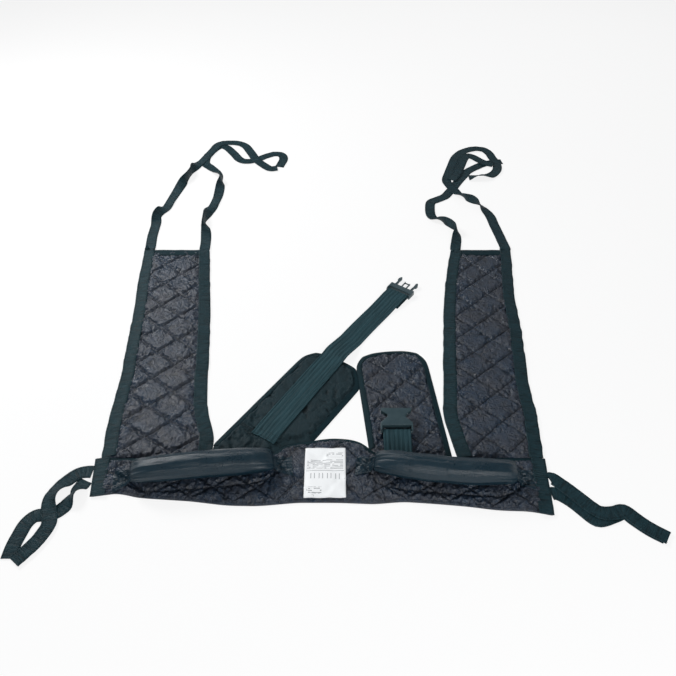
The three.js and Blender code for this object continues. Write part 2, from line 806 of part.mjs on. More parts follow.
// Grips: a cover and a foam core over webbing, whose two ends lie on the belt
function addGrip(side, centreX, degrees, bow) {
  const grip = new THREE.Group();
  grip.position.set(centreX, gripAxisY, topFoot);
  grip.rotation.z = THREE.MathUtils.degToRad(degrees);
  sling.add(grip);
  const stations = gripShares.map(([place, fullness]) => {
    const wide = THREE.MathUtils.lerp(gripEndWidth, gripDiameter, fullness) / 2;
    const high = THREE.MathUtils.lerp(gripEndHeight, gripDiameter, fullness) / 2;
    const lift = endLiftShare * (gripDiameter / 2 - high);
    const y = bow * (1 - (2 * place) ** 2);
    return { x: place * gripSpan, y, z: high + lift, wide, high };
  });
  const angles = Array.from({ length: gripSides }, (_, i) => Math.PI * (2 * i + 1) / gripSides);
  const ring = (station, inset) => angles.map((angle) => {
    return new THREE.Vector3(
      station.x,
      station.y + (station.wide - inset) * Math.cos(angle),
      station.z + (station.high - inset) * Math.sin(angle),
    );
  });
  const slot = (station) => angles.map((angle) => {
    const reach = Math.max(Math.abs(Math.cos(angle)), Math.abs(Math.sin(angle)));
    return new THREE.Vector3(
      station.x,
      station.y + (gripWebbing / 2 + gap) * Math.cos(angle) / reach,
      station.z + (webbing / 2 + gap) * Math.sin(angle) / reach,
    );
  });
  const outside = stations.map((station) => ring(station, 0));
  const underCover = stations.map((station) => ring(station, gripCover));
  const overCore = stations.map((station) => ring(station, gripCover + gap));
  const tunnel = stations.map(slot);
  const run = (reach, foot) => [Math.sign(reach) * (gripSpan / 2 + Math.abs(reach)), 0, foot];
  const inner = stations.map(({ x, y, z }) => [x, y, z - webbing / 2]);
  const stops = [
    run(-gripTab, 0), run(-gripTab / 2, 0), run(-gap, inner[0][2]), ...inner,
    run(gap, inner[0][2]), run(gripTab / 2, 0), run(gripTab, 0),
  ];
  const across = new THREE.Vector3(0, 1, 0);
  const up = new THREE.Vector3(0, 0, 1);
  const rings = stops.map(([x, y, foot]) => {
    const centre = new THREE.Vector3(x, y, foot + webbing / 2);
    return webbingRing(centre, across, up, gripWebbing);
  });
  add(grip, `${side}_grip_cover`, sleeve(outside, underCover), finishes.grip);
  add(grip, `${side}_grip_foam`, sleeve(overCore, tunnel), finishes.foam);
  add(grip, `${side}_grip_webbing`, sweep(rings), finishes.webbing);
}

addGrip('left', leftGripX, leftGripDegrees, 0);
addGrip('right', rightGripX, rightGripDegrees, rightGripBow);

// Free straps of the legs and of the belt's ends.
// Each is a table of [x, y, level, turn]: x and y are shares of the strap's reach from its anchor,
// the level counts the straps below it, and the turn is in whole turns.
function addStrap(name, shares, anchor, reach) {
  const stops = shares.map(([x, y, level, turn]) => [
    anchor[0] + x * reach,
    anchor[1] + y * reach,
    level * layer,
    turn,
  ]);
  add(sling, name, sweep(webbingAlong(stops, legWebbing)), finishes.webbing);
}

const hemLevel = (waddingFloor + cloth + gap) / layer;
const leftOuterShares = [
  [-0.113, 0, hemLevel], [-0.113, 0.01, hemLevel], [-0.122, 0.095, 0], [-0.124, 0.185, 0],
  [-0.128, 0.235, 0, 0.12], [-0.118, 0.275, 0, 0.12], [-0.1, 0.32, 0], [-0.086, 0.405, 0],
  [-0.066, 0.49, 0, 0.06], [-0.046, 0.543, 0, 0.22], [-0.034, 0.598, 0, 0.25], [-0.028, 0.64, 0, 0.16],
  [-0.009, 0.7, 1], [0.0175, 0.765, 1], [0.04, 0.832, 1], [0.062, 0.888, 1], [0.1, 0.905, 1],
  [0.154, 0.903, 1], [0.196, 0.873, 1], [0.234, 0.795, 1], [0.2625, 0.735, 1], [0.296, 0.692, 1],
  [0.335, 0.652, 1], [0.372, 0.655, 1],
];
const leftInnerShares = [
  [0.113, 0, hemLevel], [0.113, 0.01, hemLevel], [0.108, 0.073, 0], [0.1, 0.14, 0, 0.08],
  [0.086, 0.197, 0, 0.23], [0.094, 0.268, 0, 0.1], [0.106, 0.328, 0], [0.116, 0.405, 0],
  [0.118, 0.483, 0, 0.08], [0.116, 0.537, 0, 0.22], [0.091, 0.605, 0, 0.06], [0.05, 0.662, 0],
  [0.02, 0.7, 0], [0.0165, 0.765, 0], [0.04, 0.832, 0], [0.07, 0.872, 0], [0.104, 0.86, 0],
  [0.1425, 0.803, 0], [0.179, 0.742, 0], [0.211, 0.722, 0], [0.2475, 0.728, 0], [0.28, 0.752, 0],
  [0.3125, 0.778, 0], [0.352, 0.797, 0], [0.385, 0.785, 0], [0.396, 0.74, 0], [0.38, 0.672, 0],
];
const rightInnerShares = [
  [-0.1025, 0, hemLevel], [-0.1025, 0.01, hemLevel], [-0.088, 0.085, 0, 0.06], [-0.084, 0.127, 0, 0.2],
  [-0.098, 0.155, 0, 0.25], [-0.12, 0.18, 0, 0.25], [-0.143, 0.202, 0, 0.16], [-0.168, 0.222, 0, 0.04],
  [-0.18, 0.262, 0], [-0.178, 0.318, 0], [-0.168, 0.36, 0], [-0.138, 0.382, 0], [-0.102, 0.407, 0],
  [-0.078, 0.443, 0], [-0.055, 0.48, 0], [-0.025, 0.535, 0], [0.008, 0.587, 0], [0.035, 0.63, 0],
  [0.072, 0.663, 0], [0.117, 0.695, 0], [0.16, 0.712, 0], [0.212, 0.72, 0],
];
const rightOuterShares = [
  [0.1025, 0, hemLevel], [0.1025, 0.01, hemLevel], [0.097, 0.092, 0], [0.087, 0.177, 0],
  [0.08, 0.245, 0], [0.062, 0.292, 0, 0.04], [0.038, 0.332, 0, 0.18], [0.012, 0.355, 0, 0.25],
  [-0.015, 0.375, 0, 0.2], [-0.037, 0.413, 1, 0.04], [-0.052, 0.455, 1], [-0.07, 0.497, 1],
  [-0.078, 0.545, 1], [-0.06, 0.61, 1], [-0.038, 0.678, 1], [-0.012, 0.75, 1], [0.022, 0.8, 1],
  [0.062, 0.828, 1], [0.1, 0.84, 1], [0.137, 0.832, 1], [0.16, 0.8, 1], [0.17, 0.753, 1],
  [0.18, 0.712, 1], [0.182, 0.67, 1], [0.168, 0.622, 1], [0.132, 0.582, 1], [0.082, 0.567, 1, 0.1],
  [0.03, 0.565, 1],
];
const rightDividerShares = [
  [-0.055, 0.54, 2], [-0.022, 0.602, 2], [0.004, 0.67, 2], [0.028, 0.735, 2], [0.05, 0.765, 2],
  [0.078, 0.75, 2], [0.103, 0.718, 2], [0.132, 0.693, 2], [0.162, 0.678, 2],
];
const leftUpperEndShares = [
  [0.0095, 0.05, 1], [-0.03, 0.05, 1], [-0.11, 0.03, 1], [-0.19, -0.05, 1], [-0.25, -0.145, 1, 0.07],
  [-0.28, -0.245, 1, 0.05], [-0.255, -0.355, 1], [-0.225, -0.435, 1], [-0.225, -0.505, 1],
  [-0.265, -0.615, 1], [-0.32, -0.705, 1], [-0.4, -0.81, 1],
];
const leftLowerEndShares = [
  [-0.026, -0.037, 0], [-0.055, -0.1, 0], [-0.085, -0.19, 0, 0.14], [-0.135, -0.29, 0],
  [-0.205, -0.36, 0], [-0.285, -0.375, 0], [-0.365, -0.39, 0], [-0.418, -0.46, 0], [-0.44, -0.56, 0],
  [-0.455, -0.665, 0], [-0.455, -0.775, 0],
];
const rightUpperEndShares = [
  [-0.011, -0.02, 1], [0.02, -0.02, 1], [0.0915, -0.09, 1], [0.1765, -0.185, 1], [0.2615, -0.285, 1],
  [0.3465, -0.36, 1], [0.4565, -0.365, 1], [0.5565, -0.345, 1], [0.6265, -0.42, 1], [0.7165, -0.51, 1],
  [0.8415, -0.6, 1],
];
const rightLowerEndShares = [
  [-0.0235, -0.17, 0], [0.0215, -0.17, 0], [0.1015, -0.22, 0], [0.1815, -0.3, 0], [0.2615, -0.395, 0],
  [0.3215, -0.43, 0], [0.4615, -0.385, 0], [0.5465, -0.355, 0], [0.6165, -0.425, 0],
  [0.7115, -0.515, 0], [0.8215, -0.59, 0],
];

function hemAnchor(leg) {
  const outer = leg.left(1);
  const inner = leg.right(1);
  return [(outer[0] + inner[0]) / 2, outer[1] + gap];
}
addStrap('left_leg_outer_strap', leftOuterShares, hemAnchor(leftLeg), legStrapReach);
addStrap('left_leg_inner_strap', leftInnerShares, hemAnchor(leftLeg), legStrapReach);
addStrap('right_leg_inner_strap', rightInnerShares, hemAnchor(rightLeg), legStrapReach);
addStrap('right_leg_outer_strap', rightOuterShares, hemAnchor(rightLeg), legStrapReach);
addStrap('right_leg_divider_strap', rightDividerShares, hemAnchor(rightLeg), legStrapReach);

const leftEndAnchor = [beltLength * backEndShares[0], -hingeLine];
const rightEndAnchor = [beltLength * backEndShares[1], -hingeLine];
addStrap('left_end_upper_strap', leftUpperEndShares, leftEndAnchor, endStrapReach);
addStrap('left_end_lower_strap', leftLowerEndShares, leftEndAnchor, endStrapReach);
addStrap('right_end_upper_strap', rightUpperEndShares, rightEndAnchor, endStrapReach);
addStrap('right_end_lower_strap', rightLowerEndShares, rightEndAnchor, endStrapReach);

export default sling;
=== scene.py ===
"""A padded transfer belt with leg panels, waist pads, a buckled strap, grips and loops, laid out flat."""

import json
import math
from itertools import groupby

import bmesh
import bpy
import numpy as np
from bpy.props import FloatProperty, FloatVectorProperty, PointerProperty
from mathutils import Matrix, Vector, bvhtree, geometry, kdtree

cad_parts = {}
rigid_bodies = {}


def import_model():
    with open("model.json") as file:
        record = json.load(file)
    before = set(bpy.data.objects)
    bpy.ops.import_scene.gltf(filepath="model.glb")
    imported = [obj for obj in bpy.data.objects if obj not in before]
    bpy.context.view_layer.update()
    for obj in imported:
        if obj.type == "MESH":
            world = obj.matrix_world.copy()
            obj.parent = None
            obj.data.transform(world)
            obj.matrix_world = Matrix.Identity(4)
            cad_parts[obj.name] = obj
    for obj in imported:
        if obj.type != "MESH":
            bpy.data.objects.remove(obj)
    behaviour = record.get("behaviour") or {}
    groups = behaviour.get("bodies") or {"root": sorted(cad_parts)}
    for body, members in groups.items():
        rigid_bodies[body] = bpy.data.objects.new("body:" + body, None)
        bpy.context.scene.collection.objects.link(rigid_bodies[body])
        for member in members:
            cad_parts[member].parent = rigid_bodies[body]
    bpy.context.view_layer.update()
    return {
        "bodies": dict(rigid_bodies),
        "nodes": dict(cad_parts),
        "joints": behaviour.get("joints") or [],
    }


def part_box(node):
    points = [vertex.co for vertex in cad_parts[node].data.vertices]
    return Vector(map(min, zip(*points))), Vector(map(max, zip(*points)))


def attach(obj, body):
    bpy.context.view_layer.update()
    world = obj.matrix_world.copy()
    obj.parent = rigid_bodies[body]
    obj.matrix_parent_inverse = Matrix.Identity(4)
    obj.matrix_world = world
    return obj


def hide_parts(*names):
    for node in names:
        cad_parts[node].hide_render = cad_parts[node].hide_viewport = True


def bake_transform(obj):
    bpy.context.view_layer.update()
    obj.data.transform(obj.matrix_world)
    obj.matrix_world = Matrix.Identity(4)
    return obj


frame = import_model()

bl_info = {
    "name": "Padded Transfer Belt",
    "version": (1, 0, 0),
    "blender": (4, 5, 0),
    "location": "3D View > Sidebar > Transfer Belt",
    "description": "Builds a padded transfer belt with leg panels, waist pads, a buckle, grips and loops",
    "category": "Object",
}

# All lengths are in metres, in the frame's own axes
HAIR = 2e-5
WEBBING = 0.0018
TAPE = 0.0008
EDGE_WEBBING_WIDTH = 0.025
WAIST_WEBBING_WIDTH = 0.050
LINING_TOP = 0.0008
PADDING_FLOOR = 0.0009
RIM_TOP = 0.0020
SEAM_TOP = 0.0044
PADDING_TOP = 0.0097
TAPE_RIM = 0.0026
TAPE_INNER = 0.0054
LAID_TOP = 0.0100
PAST_PADDING_TOP = 0.006
LOWEST = 0.0002
CORNER = 0.002
SHARP = math.radians(35)
CREASED = math.radians(60)
NOSE_SHARE = 0.35

# Spacing of points along a rim, a seam, a tape and a strap
RIM_STEP = 0.0006
STITCH_STEP = 0.004
TAPE_STEP = 0.003
STRAP_STEP = 0.004

# Seams: how high the thread stands on cloth and on webbing, and how far in from an edge it runs
THREAD_LIFT = 0.0003
WEBBING_THREAD_LIFT = 0.0002
TAPE_SEAM = 0.0018
HEM_SEAM = 0.002
LEG_SEAM = 0.0028
END_SEAM = 0.003
LOOP_SEAM = 0.0025

# Quilting: a lattice of cells, whose diagonals every fourth cell are the stitched lines
QUILT_REPEAT = 4
QUILT_COLUMNS = 6
BELT_ROWS = 40
LEG_ROWS = 32
PAD_ROWS = 16

# Spacing of the points in a sheet of cloth, as shares of its step
THREAD_RIM_SHARE = 0.5
THREAD_GAP_SHARE = 0.45
GRID_GAP_SHARE = 0.6

# Crinkles in padded cloth: their depth, and the span of each size with its share of the depth
CRINKLE_DEPTH = 0.0013
CRINKLES = ((0.019, 0.9), (0.010, 0.7), (0.0052, 0.45))

# Belt
BELT_HEM = 0.006
BELT_QUILT_INSET = 0.007
BELT_BINDING = 0.010
BELT_FRONT_ENDS = (-0.3808, 0.3630)
BELT_BACK_ENDS = (-0.3913, 0.3727)
BELT_TAPE_ENDS = (-0.3905, 0.3720)
HEM_ROW_ENDS = (-0.378, 0.36)
HEM_ROW_INSET = 0.004
CENTRE_ROWS = (0.012, 0.015, 0.018)
CENTRE_ROW_ENDS = (0.041, 0.060)

# Leg panels
LEG_NEAR = 0.0094
LEG_HEM = 0.025
LEG_WEBBING_SHARE = 0.96
LEG_TUCK = 0.003
LEG_STRAP_LAP = 0.003
LEG_WAVER = 0.0010

# Waist pads: tip, heading and size
PAD_WIDTH = 0.146
PAD_LENGTH = 0.330
PAD_CORNER = 0.044
PAD_BINDING = 0.010
LEFT_PAD_TIP = (0.029, 0.266)
LEFT_PAD_HEADING = math.radians(55.6)
RIGHT_PAD_TIP = (0.130, 0.293)
RIGHT_PAD_HEADING = math.radians(95.5)
SMOOTH_ROWS = (0.243, 0.247)

# Waist strap
WAIST_STRAP_HEADING = (0.565, 0.825)
WAIST_RIBS = 6
RIB_DEPTH = 0.0009
WAIST_SEAM_REACH = 0.0225

# Grips
GRIP_SPAN = 0.250
GRIP_WIDTH = 0.048
GRIP_END_WIDTH = 0.030
GRIP_END_HEIGHT = 0.010
GRIP_TAB = 0.034
GRIP_END_GAP = 0.004
GRIP_LIFT_SHARE = 0.25
GRIP_LEAN_SHARE = 0.6
GRIPS = {
    "left": {"centre": (-0.215, -0.016), "turn": math.radians(6), "bow": 0.0, "seed": 11},
    "right": {"centre": (0.211, -0.016), "turn": math.radians(-5.5), "bow": -0.010, "seed": 12},
}

# Buckle: the radius of its edges, and the angles that count as flat, as an edge and as sharp
MOULDED_EDGE = 0.0006
FLAT_ANGLE = math.radians(1)
EDGE_ANGLE = math.radians(30)
SHARP_ANGLE = math.radians(40)

# Care label
LABEL_SHEET = 0.0005

# Folds: where a stretch past each joint starts, and how far it reaches
LEG_FOLD = (0, 0.040)
STRAP_FOLD = (0, 0.030)
LEFT_END_FOLD = (-0.002, 0.030)
LEFT_PAD_FOLD = (0.044, 0.110)
RIGHT_PAD_FOLD = (0, 0.018)

# Camera, floor and light. A lamp has a place, a size and a power in watts
CAMERA_PLACE = (0.0228, -0.715, 1.016)
CAMERA_TILT = math.radians(46)
CAMERA_LENS = 36.2
FLOOR_LEVEL = -0.0003
FLOOR_REACH = 20.0
FLOOR_WHITE_SHARE = 0.84
LAMPS = {
    "left": ((-1.3, 1.3, 1.35), 0.6, 36),
    "front": ((0.7, -1.6, 1.2), 0.9, 25),
    "back": ((0.9, 2.2, 1.2), 1.2, 4),
}
LAMP_AIM = (0, 0.3, 0)
SKY_COLOUR = (0.93, 0.96, 1, 1)
SKY_STRENGTH = 0.24

JOINTS = {joint["name"]: joint for joint in frame["joints"]}


def paint(code):
    """A colour written as six hex digits, as linear values."""
    values = [int(code[k:k + 2], 16) / 255 for k in (0, 2, 4)]
    return tuple(v / 12.92 if v <= 0.04045 else ((v + 0.055) / 1.055) ** 2.4 for v in values)


class SlingSizes(bpy.types.PropertyGroup):
    """Sizes of the cloth's own relief."""

    sheet_step: FloatProperty(name="Cloth step", description="Spacing of the points in padded cloth",
                              default=0.0032, min=0.001, unit="LENGTH")
    quilt_excess: FloatProperty(name="Quilt fullness", description="Share by which the cloth is cut larger",
                                default=0.10, min=0)
    quilt_pressure: FloatProperty(name="Wadding pressure", description="How hard the wadding swells",
                                  default=8, min=0)
    stitch_length: FloatProperty(name="Stitch length", description="Length of one stitch",
                                 default=0.0026, min=0.0005, unit="LENGTH")
    stitch_pitch: FloatProperty(name="Stitch pitch", description="Distance from stitch to stitch",
                                default=0.0037, min=0.001, unit="LENGTH")
    thread_width: FloatProperty(name="Thread width", description="Thickness of the sewing thread",
                                default=0.0006, min=0.0001, unit="LENGTH")
    edge_ripple: FloatProperty(name="Edge ripple", description="Depth of the gathers in edge webbing",
                               default=0.0016, min=0, unit="LENGTH")
    strap_cup: FloatProperty(name="Strap cupping", description="How far a strap's edges curl",
                             default=0.0012, min=0, unit="LENGTH")


def colour(name, code, description):
    """A colour that a user can change."""
    return FloatVectorProperty(name=name, description=description, subtype="COLOR",
                               default=paint(code), min=0, max=1)


class SlingColours(bpy.types.PropertyGroup):
    """Colours of the cloths, webbings and plastic."""

    quilt: colour("Quilted nylon", "172737", "Face of the belt, the leg panels and the right pad")
    quilt_warm: colour("Quilted nylon, worn", "2f2e31", "Warmer patches of the same cloth")
    smooth: colour("Smooth nylon", "1b2a2f", "Face of the left pad")
    lining: colour("Lining", "1f2428", "Underside of every panel")
    webbing: colour("Edge webbing", "0f262c", "Webbing on the leg panels, the loops and the ends")
    waist: colour("Waist webbing", "22393f", "Ribbed webbing of the waist strap")
    binding: colour("Binding tape", "10242a", "Tape round the pads and along the belt")
    grip: colour("Grip cover", "0b232e", "Satin nylon over the grips")
    plastic: colour("Buckle", "2c3f45", "Moulded plastic of both halves")
    label: colour("Label", "f6f8f9", "Cloth of the care label")
    print_grey: colour("Label print", "6b7075", "Plain dashes and lines printed on the label")
    thread: colour("Thread", "101417", "Sewing thread")


# Lines and outlines

def welded(node):
    """Points of a CAD node with its doubles merged, and its triangles."""
    mesh = frame["nodes"][node].data
    corners = np.array([v.co[:] for v in mesh.vertices])
    keys = np.round(corners / HAIR).astype(np.int64)
    _, first, index = np.unique(keys, axis=0, return_index=True, return_inverse=True)
    faces = index.reshape(-1)[np.array([p.vertices[:] for p in mesh.polygons])]
    return corners[first], faces


def open_sides(faces):
    """The sides of triangles that no second triangle shares."""
    sides = {(int(f[k]), int(f[(k + 1) % 3])) for f in faces for k in range(3)}
    return [(a, b) for a, b in sorted(sides) if (b, a) not in sides]


def double_area(loop):
    """Twice the area inside an outline: below zero where it runs clockwise."""
    x, y = loop.T
    return np.dot(x, np.roll(y, -1)) - np.dot(y, np.roll(x, -1))


def outline_of(node):
    """The outline of a flat node's underside, anticlockwise from above."""
    points, faces = welded(node)
    base = faces[(points[faces, 2] < points[:, 2].min() + HAIR).all(axis=1)]
    after = dict(open_sides(base))
    loop = [min(after)]
    while after[loop[-1]] != loop[0]:
        loop.append(after[loop[-1]])
    line = points[loop, :2]
    return line if double_area(line) > 0 else line[::-1]


def rounded(loop, passes=3):
    """A closed outline with its soft bends drawn out and its corners a little round."""
    for _ in range(passes):
        to = np.roll(loop, -1, axis=0) - loop
        length = np.linalg.norm(to, axis=1)
        heading = np.arctan2(to[:, 1], to[:, 0])
        turn = (heading - np.roll(heading, 1) + math.pi) % (2 * math.pi) - math.pi
        cap = np.where(np.abs(turn) > SHARP, CORNER, np.inf)
        unit = to / length[:, None]
        back = np.roll(length, 1)
        before = loop - np.roll(unit, 1, axis=0) * np.minimum(cap, back / 4)[:, None]
        beyond = loop + unit * np.minimum(cap, length / 4)[:, None]
        loop = np.stack([before, beyond], axis=1).reshape(-1, 2)
    return loop


def lengths_along(line):
    """How far along a line each of its points is."""
    return np.concatenate([[0], np.cumsum(np.linalg.norm(np.diff(line, axis=0), axis=1))])


def spaced(line, step, closed=False):
    """Points at even steps along a line."""
    line = np.asarray(line, float)
    if closed:
        line = np.vstack([line, line[:1]])
    place = lengths_along(line)
    count = max(2, int(round(place[-1] / step)))
    at = np.linspace(0, place[-1], count + 1)[:-1 if closed else None]
    return np.column_stack([np.interp(at, place, column) for column in line.T])


def run_on(line, before, after):
    """A line made longer, straight on, at its start and at its end."""
    first = line[0] - (line[1] - line[0]) / np.linalg.norm(line[1] - line[0]) * before
    last = line[-1] + (line[-1] - line[-2]) / np.linalg.norm(line[-1] - line[-2]) * after
    return np.vstack([first, line, last])


def distance_to(points, loop):
    """How far each point is from a closed outline."""
    return nearest(points, spaced(loop, RIM_STEP, closed=True))


def within(points, loop):
    """Which points lie inside a closed outline."""
    x, y = points.T
    odd = np.zeros(len(points), bool)
    for (x1, y1), (x2, y2) in zip(loop, np.roll(loop, -1, axis=0)):
        if y1 != y2:
            odd ^= ((y1 > y) != (y2 > y)) & (x < (x2 - x1) * (y - y1) / (y2 - y1) + x1)
    return odd


def nearest(points, targets):
    """How far each point is from the nearest of the targets."""
    tree = kdtree.KDTree(len(targets))
    for k, target in enumerate(targets):
        tree.insert((target[0], target[1], 0), k)
    tree.balance()
    return np.array([tree.find((p[0], p[1], 0))[2] for p in points])


def crossing(loop, axis, value):
    """Lowest and highest place where an outline crosses a line square to the axis."""
    start, end = loop, np.roll(loop, -1, axis=0)
    a, b = start[:, axis] - value, end[:, axis] - value
    cut = (a <= 0) != (b <= 0)
    share = a[cut] / (a[cut] - b[cut])
    other = 1 - axis
    found = start[cut, other] + share * (end[cut, other] - start[cut, other])
    return found.min(), found.max()


def lerp(a, b, share):
    """The value at a share of the way from a to b."""
    return a + (b - a) * share


def clamp(values):
    """Values kept from 0 to 1."""
    return np.clip(values, 0, 1)


def eased(share):
    """A share from 0 to 1 that starts and ends slowly."""
    return share * share * (3 - 2 * share)


def drift(seed, place, span):
    """Smooth random values from -1 to 1 along a line, which change over the span."""
    place = np.asarray(place, float) / span
    knots = np.random.default_rng(seed).uniform(-1, 1, int(place.max()) + 3)
    whole = np.floor(place).astype(int)
    part = eased(place - whole)
    return knots[whole] * (1 - part) + knots[whole + 1] * part


def field(seed, x, y, span):
    """Smooth random values from -1 to 1 over a plane."""
    x, y = np.asarray(x, float) / span, np.asarray(y, float) / span
    x, y = x - np.floor(x.min()), y - np.floor(y.min())
    knots = np.random.default_rng(seed).uniform(-1, 1, (int(x.max()) + 2, int(y.max()) + 2))
    i, j = np.floor(x).astype(int), np.floor(y).astype(int)
    u, v = eased(x - i), eased(y - j)
    near = lerp(knots[i, j], knots[i + 1, j], u)
    far = lerp(knots[i, j + 1], knots[i + 1, j + 1], u)
    return lerp(near, far, v)


# Meshes and pieces

def new_piece(name, points, faces, corner_uvs, material, smooth=True):
    """A mesh object at the origin, with a UV map in metres of cloth."""
    mesh = bpy.data.meshes.new(name)
    mesh.from_pydata([tuple(p) for p in points], [], [tuple(int(k) for k in f) for f in faces])
    layer = mesh.uv_layers.new(name="cloth")
    layer.data.foreach_set("uv", np.asarray(corner_uvs, float).ravel())
    mesh.polygons.foreach_set("use_smooth", [smooth] * len(mesh.polygons))
    mesh.materials.append(material)
    mesh.update()
    piece = bpy.data.objects.new(name, mesh)
    bpy.context.scene.collection.objects.link(piece)
    return piece


def volume_of(points, faces):
    """Six times the volume inside a closed mesh: below zero where its faces point inwards."""
    fan = np.array([(f[0], f[k], f[k + 1]) for f in faces for k in range(1, len(f) - 1)])
    a, b, c = (np.asarray(points)[fan[:, k]] for k in range(3))
    return np.einsum("ij,ij->", a, np.cross(b, c))


def loft(name, rings, across, along, material):
    """A closed body through rings of points. across and along are the UV values of its columns and rows."""
    rows, columns = rings.shape[:2]
    points = rings.reshape(-1, 3)
    faces, uvs = [], []
    for k in range(rows - 1):
        for i in range(columns):
            j = (i + 1) % columns
            faces.append([k * columns + i, k * columns + j, (k + 1) * columns + j, (k + 1) * columns + i])
            uvs.append([(across[i], along[k]), (across[i + 1], along[k]),
                        (across[i + 1], along[k + 1]), (across[i], along[k + 1])])
    last = (rows - 1) * columns
    faces.append(list(range(columns))[::-1])
    uvs.append([(across[i], along[0]) for i in range(columns)][::-1])
    faces.append([last + i for i in range(columns)])
    uvs.append([(across[i], along[-1]) for i in range(columns)])
    if volume_of(points, faces) < 0:
        faces = [f[::-1] for f in faces]
        uvs = [u[::-1] for u in uvs]
    piece = new_piece(name, points, faces, [c for u in uvs for c in u], material)
    piece.data.set_sharp_from_angle(angle=CREASED)
    return piece


def strip(name, path, profile, thickness, kind, rides, replaces):
    """A long piece of webbing or tape. path holds the places of its stations with their sideways and
    upward directions, and profile the (across, up) pairs of its middle surface at each station.
    Returns a function that gives lines on its upper face."""
    origins, sides, ups = path
    tangent = np.gradient(profile, axis=1)
    tangent /= np.linalg.norm(tangent, axis=2)[..., None]
    normal = np.stack([-tangent[..., 1], tangent[..., 0]], axis=2)
    upper = profile + normal * thickness / 2
    lower = profile - normal * thickness / 2
    nose = thickness * NOSE_SHARE
    first = profile[:, :1] - tangent[:, :1] * nose
    final = profile[:, -1:] + tangent[:, -1:] * nose
    section = np.concatenate([upper, final, lower[:, ::-1], first], axis=1)

    def placed(pairs):
        return origins[:, None] + sides[:, None] * pairs[..., :1] + ups[:, None] * pairs[..., 1:]

    short = np.maximum(LOWEST - placed(section)[..., 2].min(axis=1), 0)
    for _ in range(3):
        wide = np.pad(short, 1, mode="edge")
        short = np.maximum(short, (wide[:-2] + wide[2:]) / 2)
    origins = origins + np.column_stack([np.zeros((len(short), 2)), short])
    width = lengths_along(profile[0])
    across = np.concatenate([width, width[-1:], width[::-1], width[:1], width[:1]]) + profile[0, 0, 0]
    piece = loft(name, placed(section), across, lengths_along(origins), finish_of(kind))
    rides_on(piece, rides, replaces)
    top = placed(upper)

    def line(offset):
        share = np.array([np.interp(offset, row[:, 0], np.arange(len(row))) for row in profile])
        whole = np.minimum(share.astype(int), top.shape[1] - 2)
        part = (share - whole)[:, None]
        rows = np.arange(len(top))
        return top[rows, whole] * (1 - part) + top[rows, whole + 1] * part + ups * WEBBING_THREAD_LIFT

    return line


def path_along(line, way=1):
    """The stations of a strip along a level line. Its sideways direction points to the line's right,
    or to its left where way is -1."""
    tangent = np.gradient(line, axis=0)
    tangent[:, 2] = 0
    tangent /= np.linalg.norm(tangent, axis=1)[:, None]
    side = np.column_stack([tangent[:, 1], -tangent[:, 0], np.zeros(len(line))])
    return line, side * way, np.tile([0.0, 0.0, 1.0], (len(line), 1))


def rides_on(piece, rides, replaces=()):
    """Puts a piece on its body. A piece given a joint's stretch instead only has its place baked into its
    mesh. Hides the nodes it stands for."""
    if isinstance(rides, str):
        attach(piece, rides)
    else:
        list(rides)
        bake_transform(piece)
    if replaces:
        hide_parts(*replaces)
    return piece


def bend(joint, heading, start, reach):
    """The two bodies of a joint, and the start and end of a stretch past it along the heading."""
    found = JOINTS[joint]
    heading = Vector(heading).normalized()
    place = Vector(found["pos_m"]) + heading * start
    return found["parent"], found["child"], place, place + heading * reach


SIDES = ("left", "right")
LEG_BEND = {side: bend(f"{side}_leg_fold", (0, 1, 0), *LEG_FOLD) for side in SIDES}
LEG_STRAP_BEND = {side: bend(f"{side}_leg_straps_fold", (0, 1, 0), *STRAP_FOLD) for side in SIDES}
END_BEND = {
    "left": bend("left_end_loops_fold", (-1, 0, 0), *LEFT_END_FOLD),
    "right": bend("right_end_loops_fold", (1, 0, 0), *STRAP_FOLD),
}
PAD_BEND = {
    "left": bend("left_waist_pad_fold", (0, 1, 0), *LEFT_PAD_FOLD),
    "right": bend("right_waist_pad_fold", (0, 1, 0), *RIGHT_PAD_FOLD),
}
WAIST_STRAP_BEND = bend("waist_strap_fold", (*WAIST_STRAP_HEADING, 0), *STRAP_FOLD)


# Padded cloth

def turned(local, facts):
    """Places given along and across a grip, as places on the belt."""
    cos, sin = math.cos(facts["turn"]), math.sin(facts["turn"])
    return local @ np.array([[cos, sin], [-sin, cos]]) + facts["centre"]


def quilt_lines(point, columns, rows):
    """Lines stitched along the diagonals of a lattice. point gives the place of a lattice corner."""
    lines = []
    for lean in (1, -1):
        low, high = (0, columns + rows) if lean > 0 else (-rows, columns)
        for c in range(QUILT_REPEAT * math.ceil(low / QUILT_REPEAT), high + 1, QUILT_REPEAT):
            i = np.linspace(0, columns, 4 * columns + 1)
            j = lean * (c - i)
            keep = (j >= 0) & (j <= rows)
            if keep.sum() > 2:
                lines.append(np.array([point(a, b) for a, b in zip(i[keep], j[keep])]))
    return lines


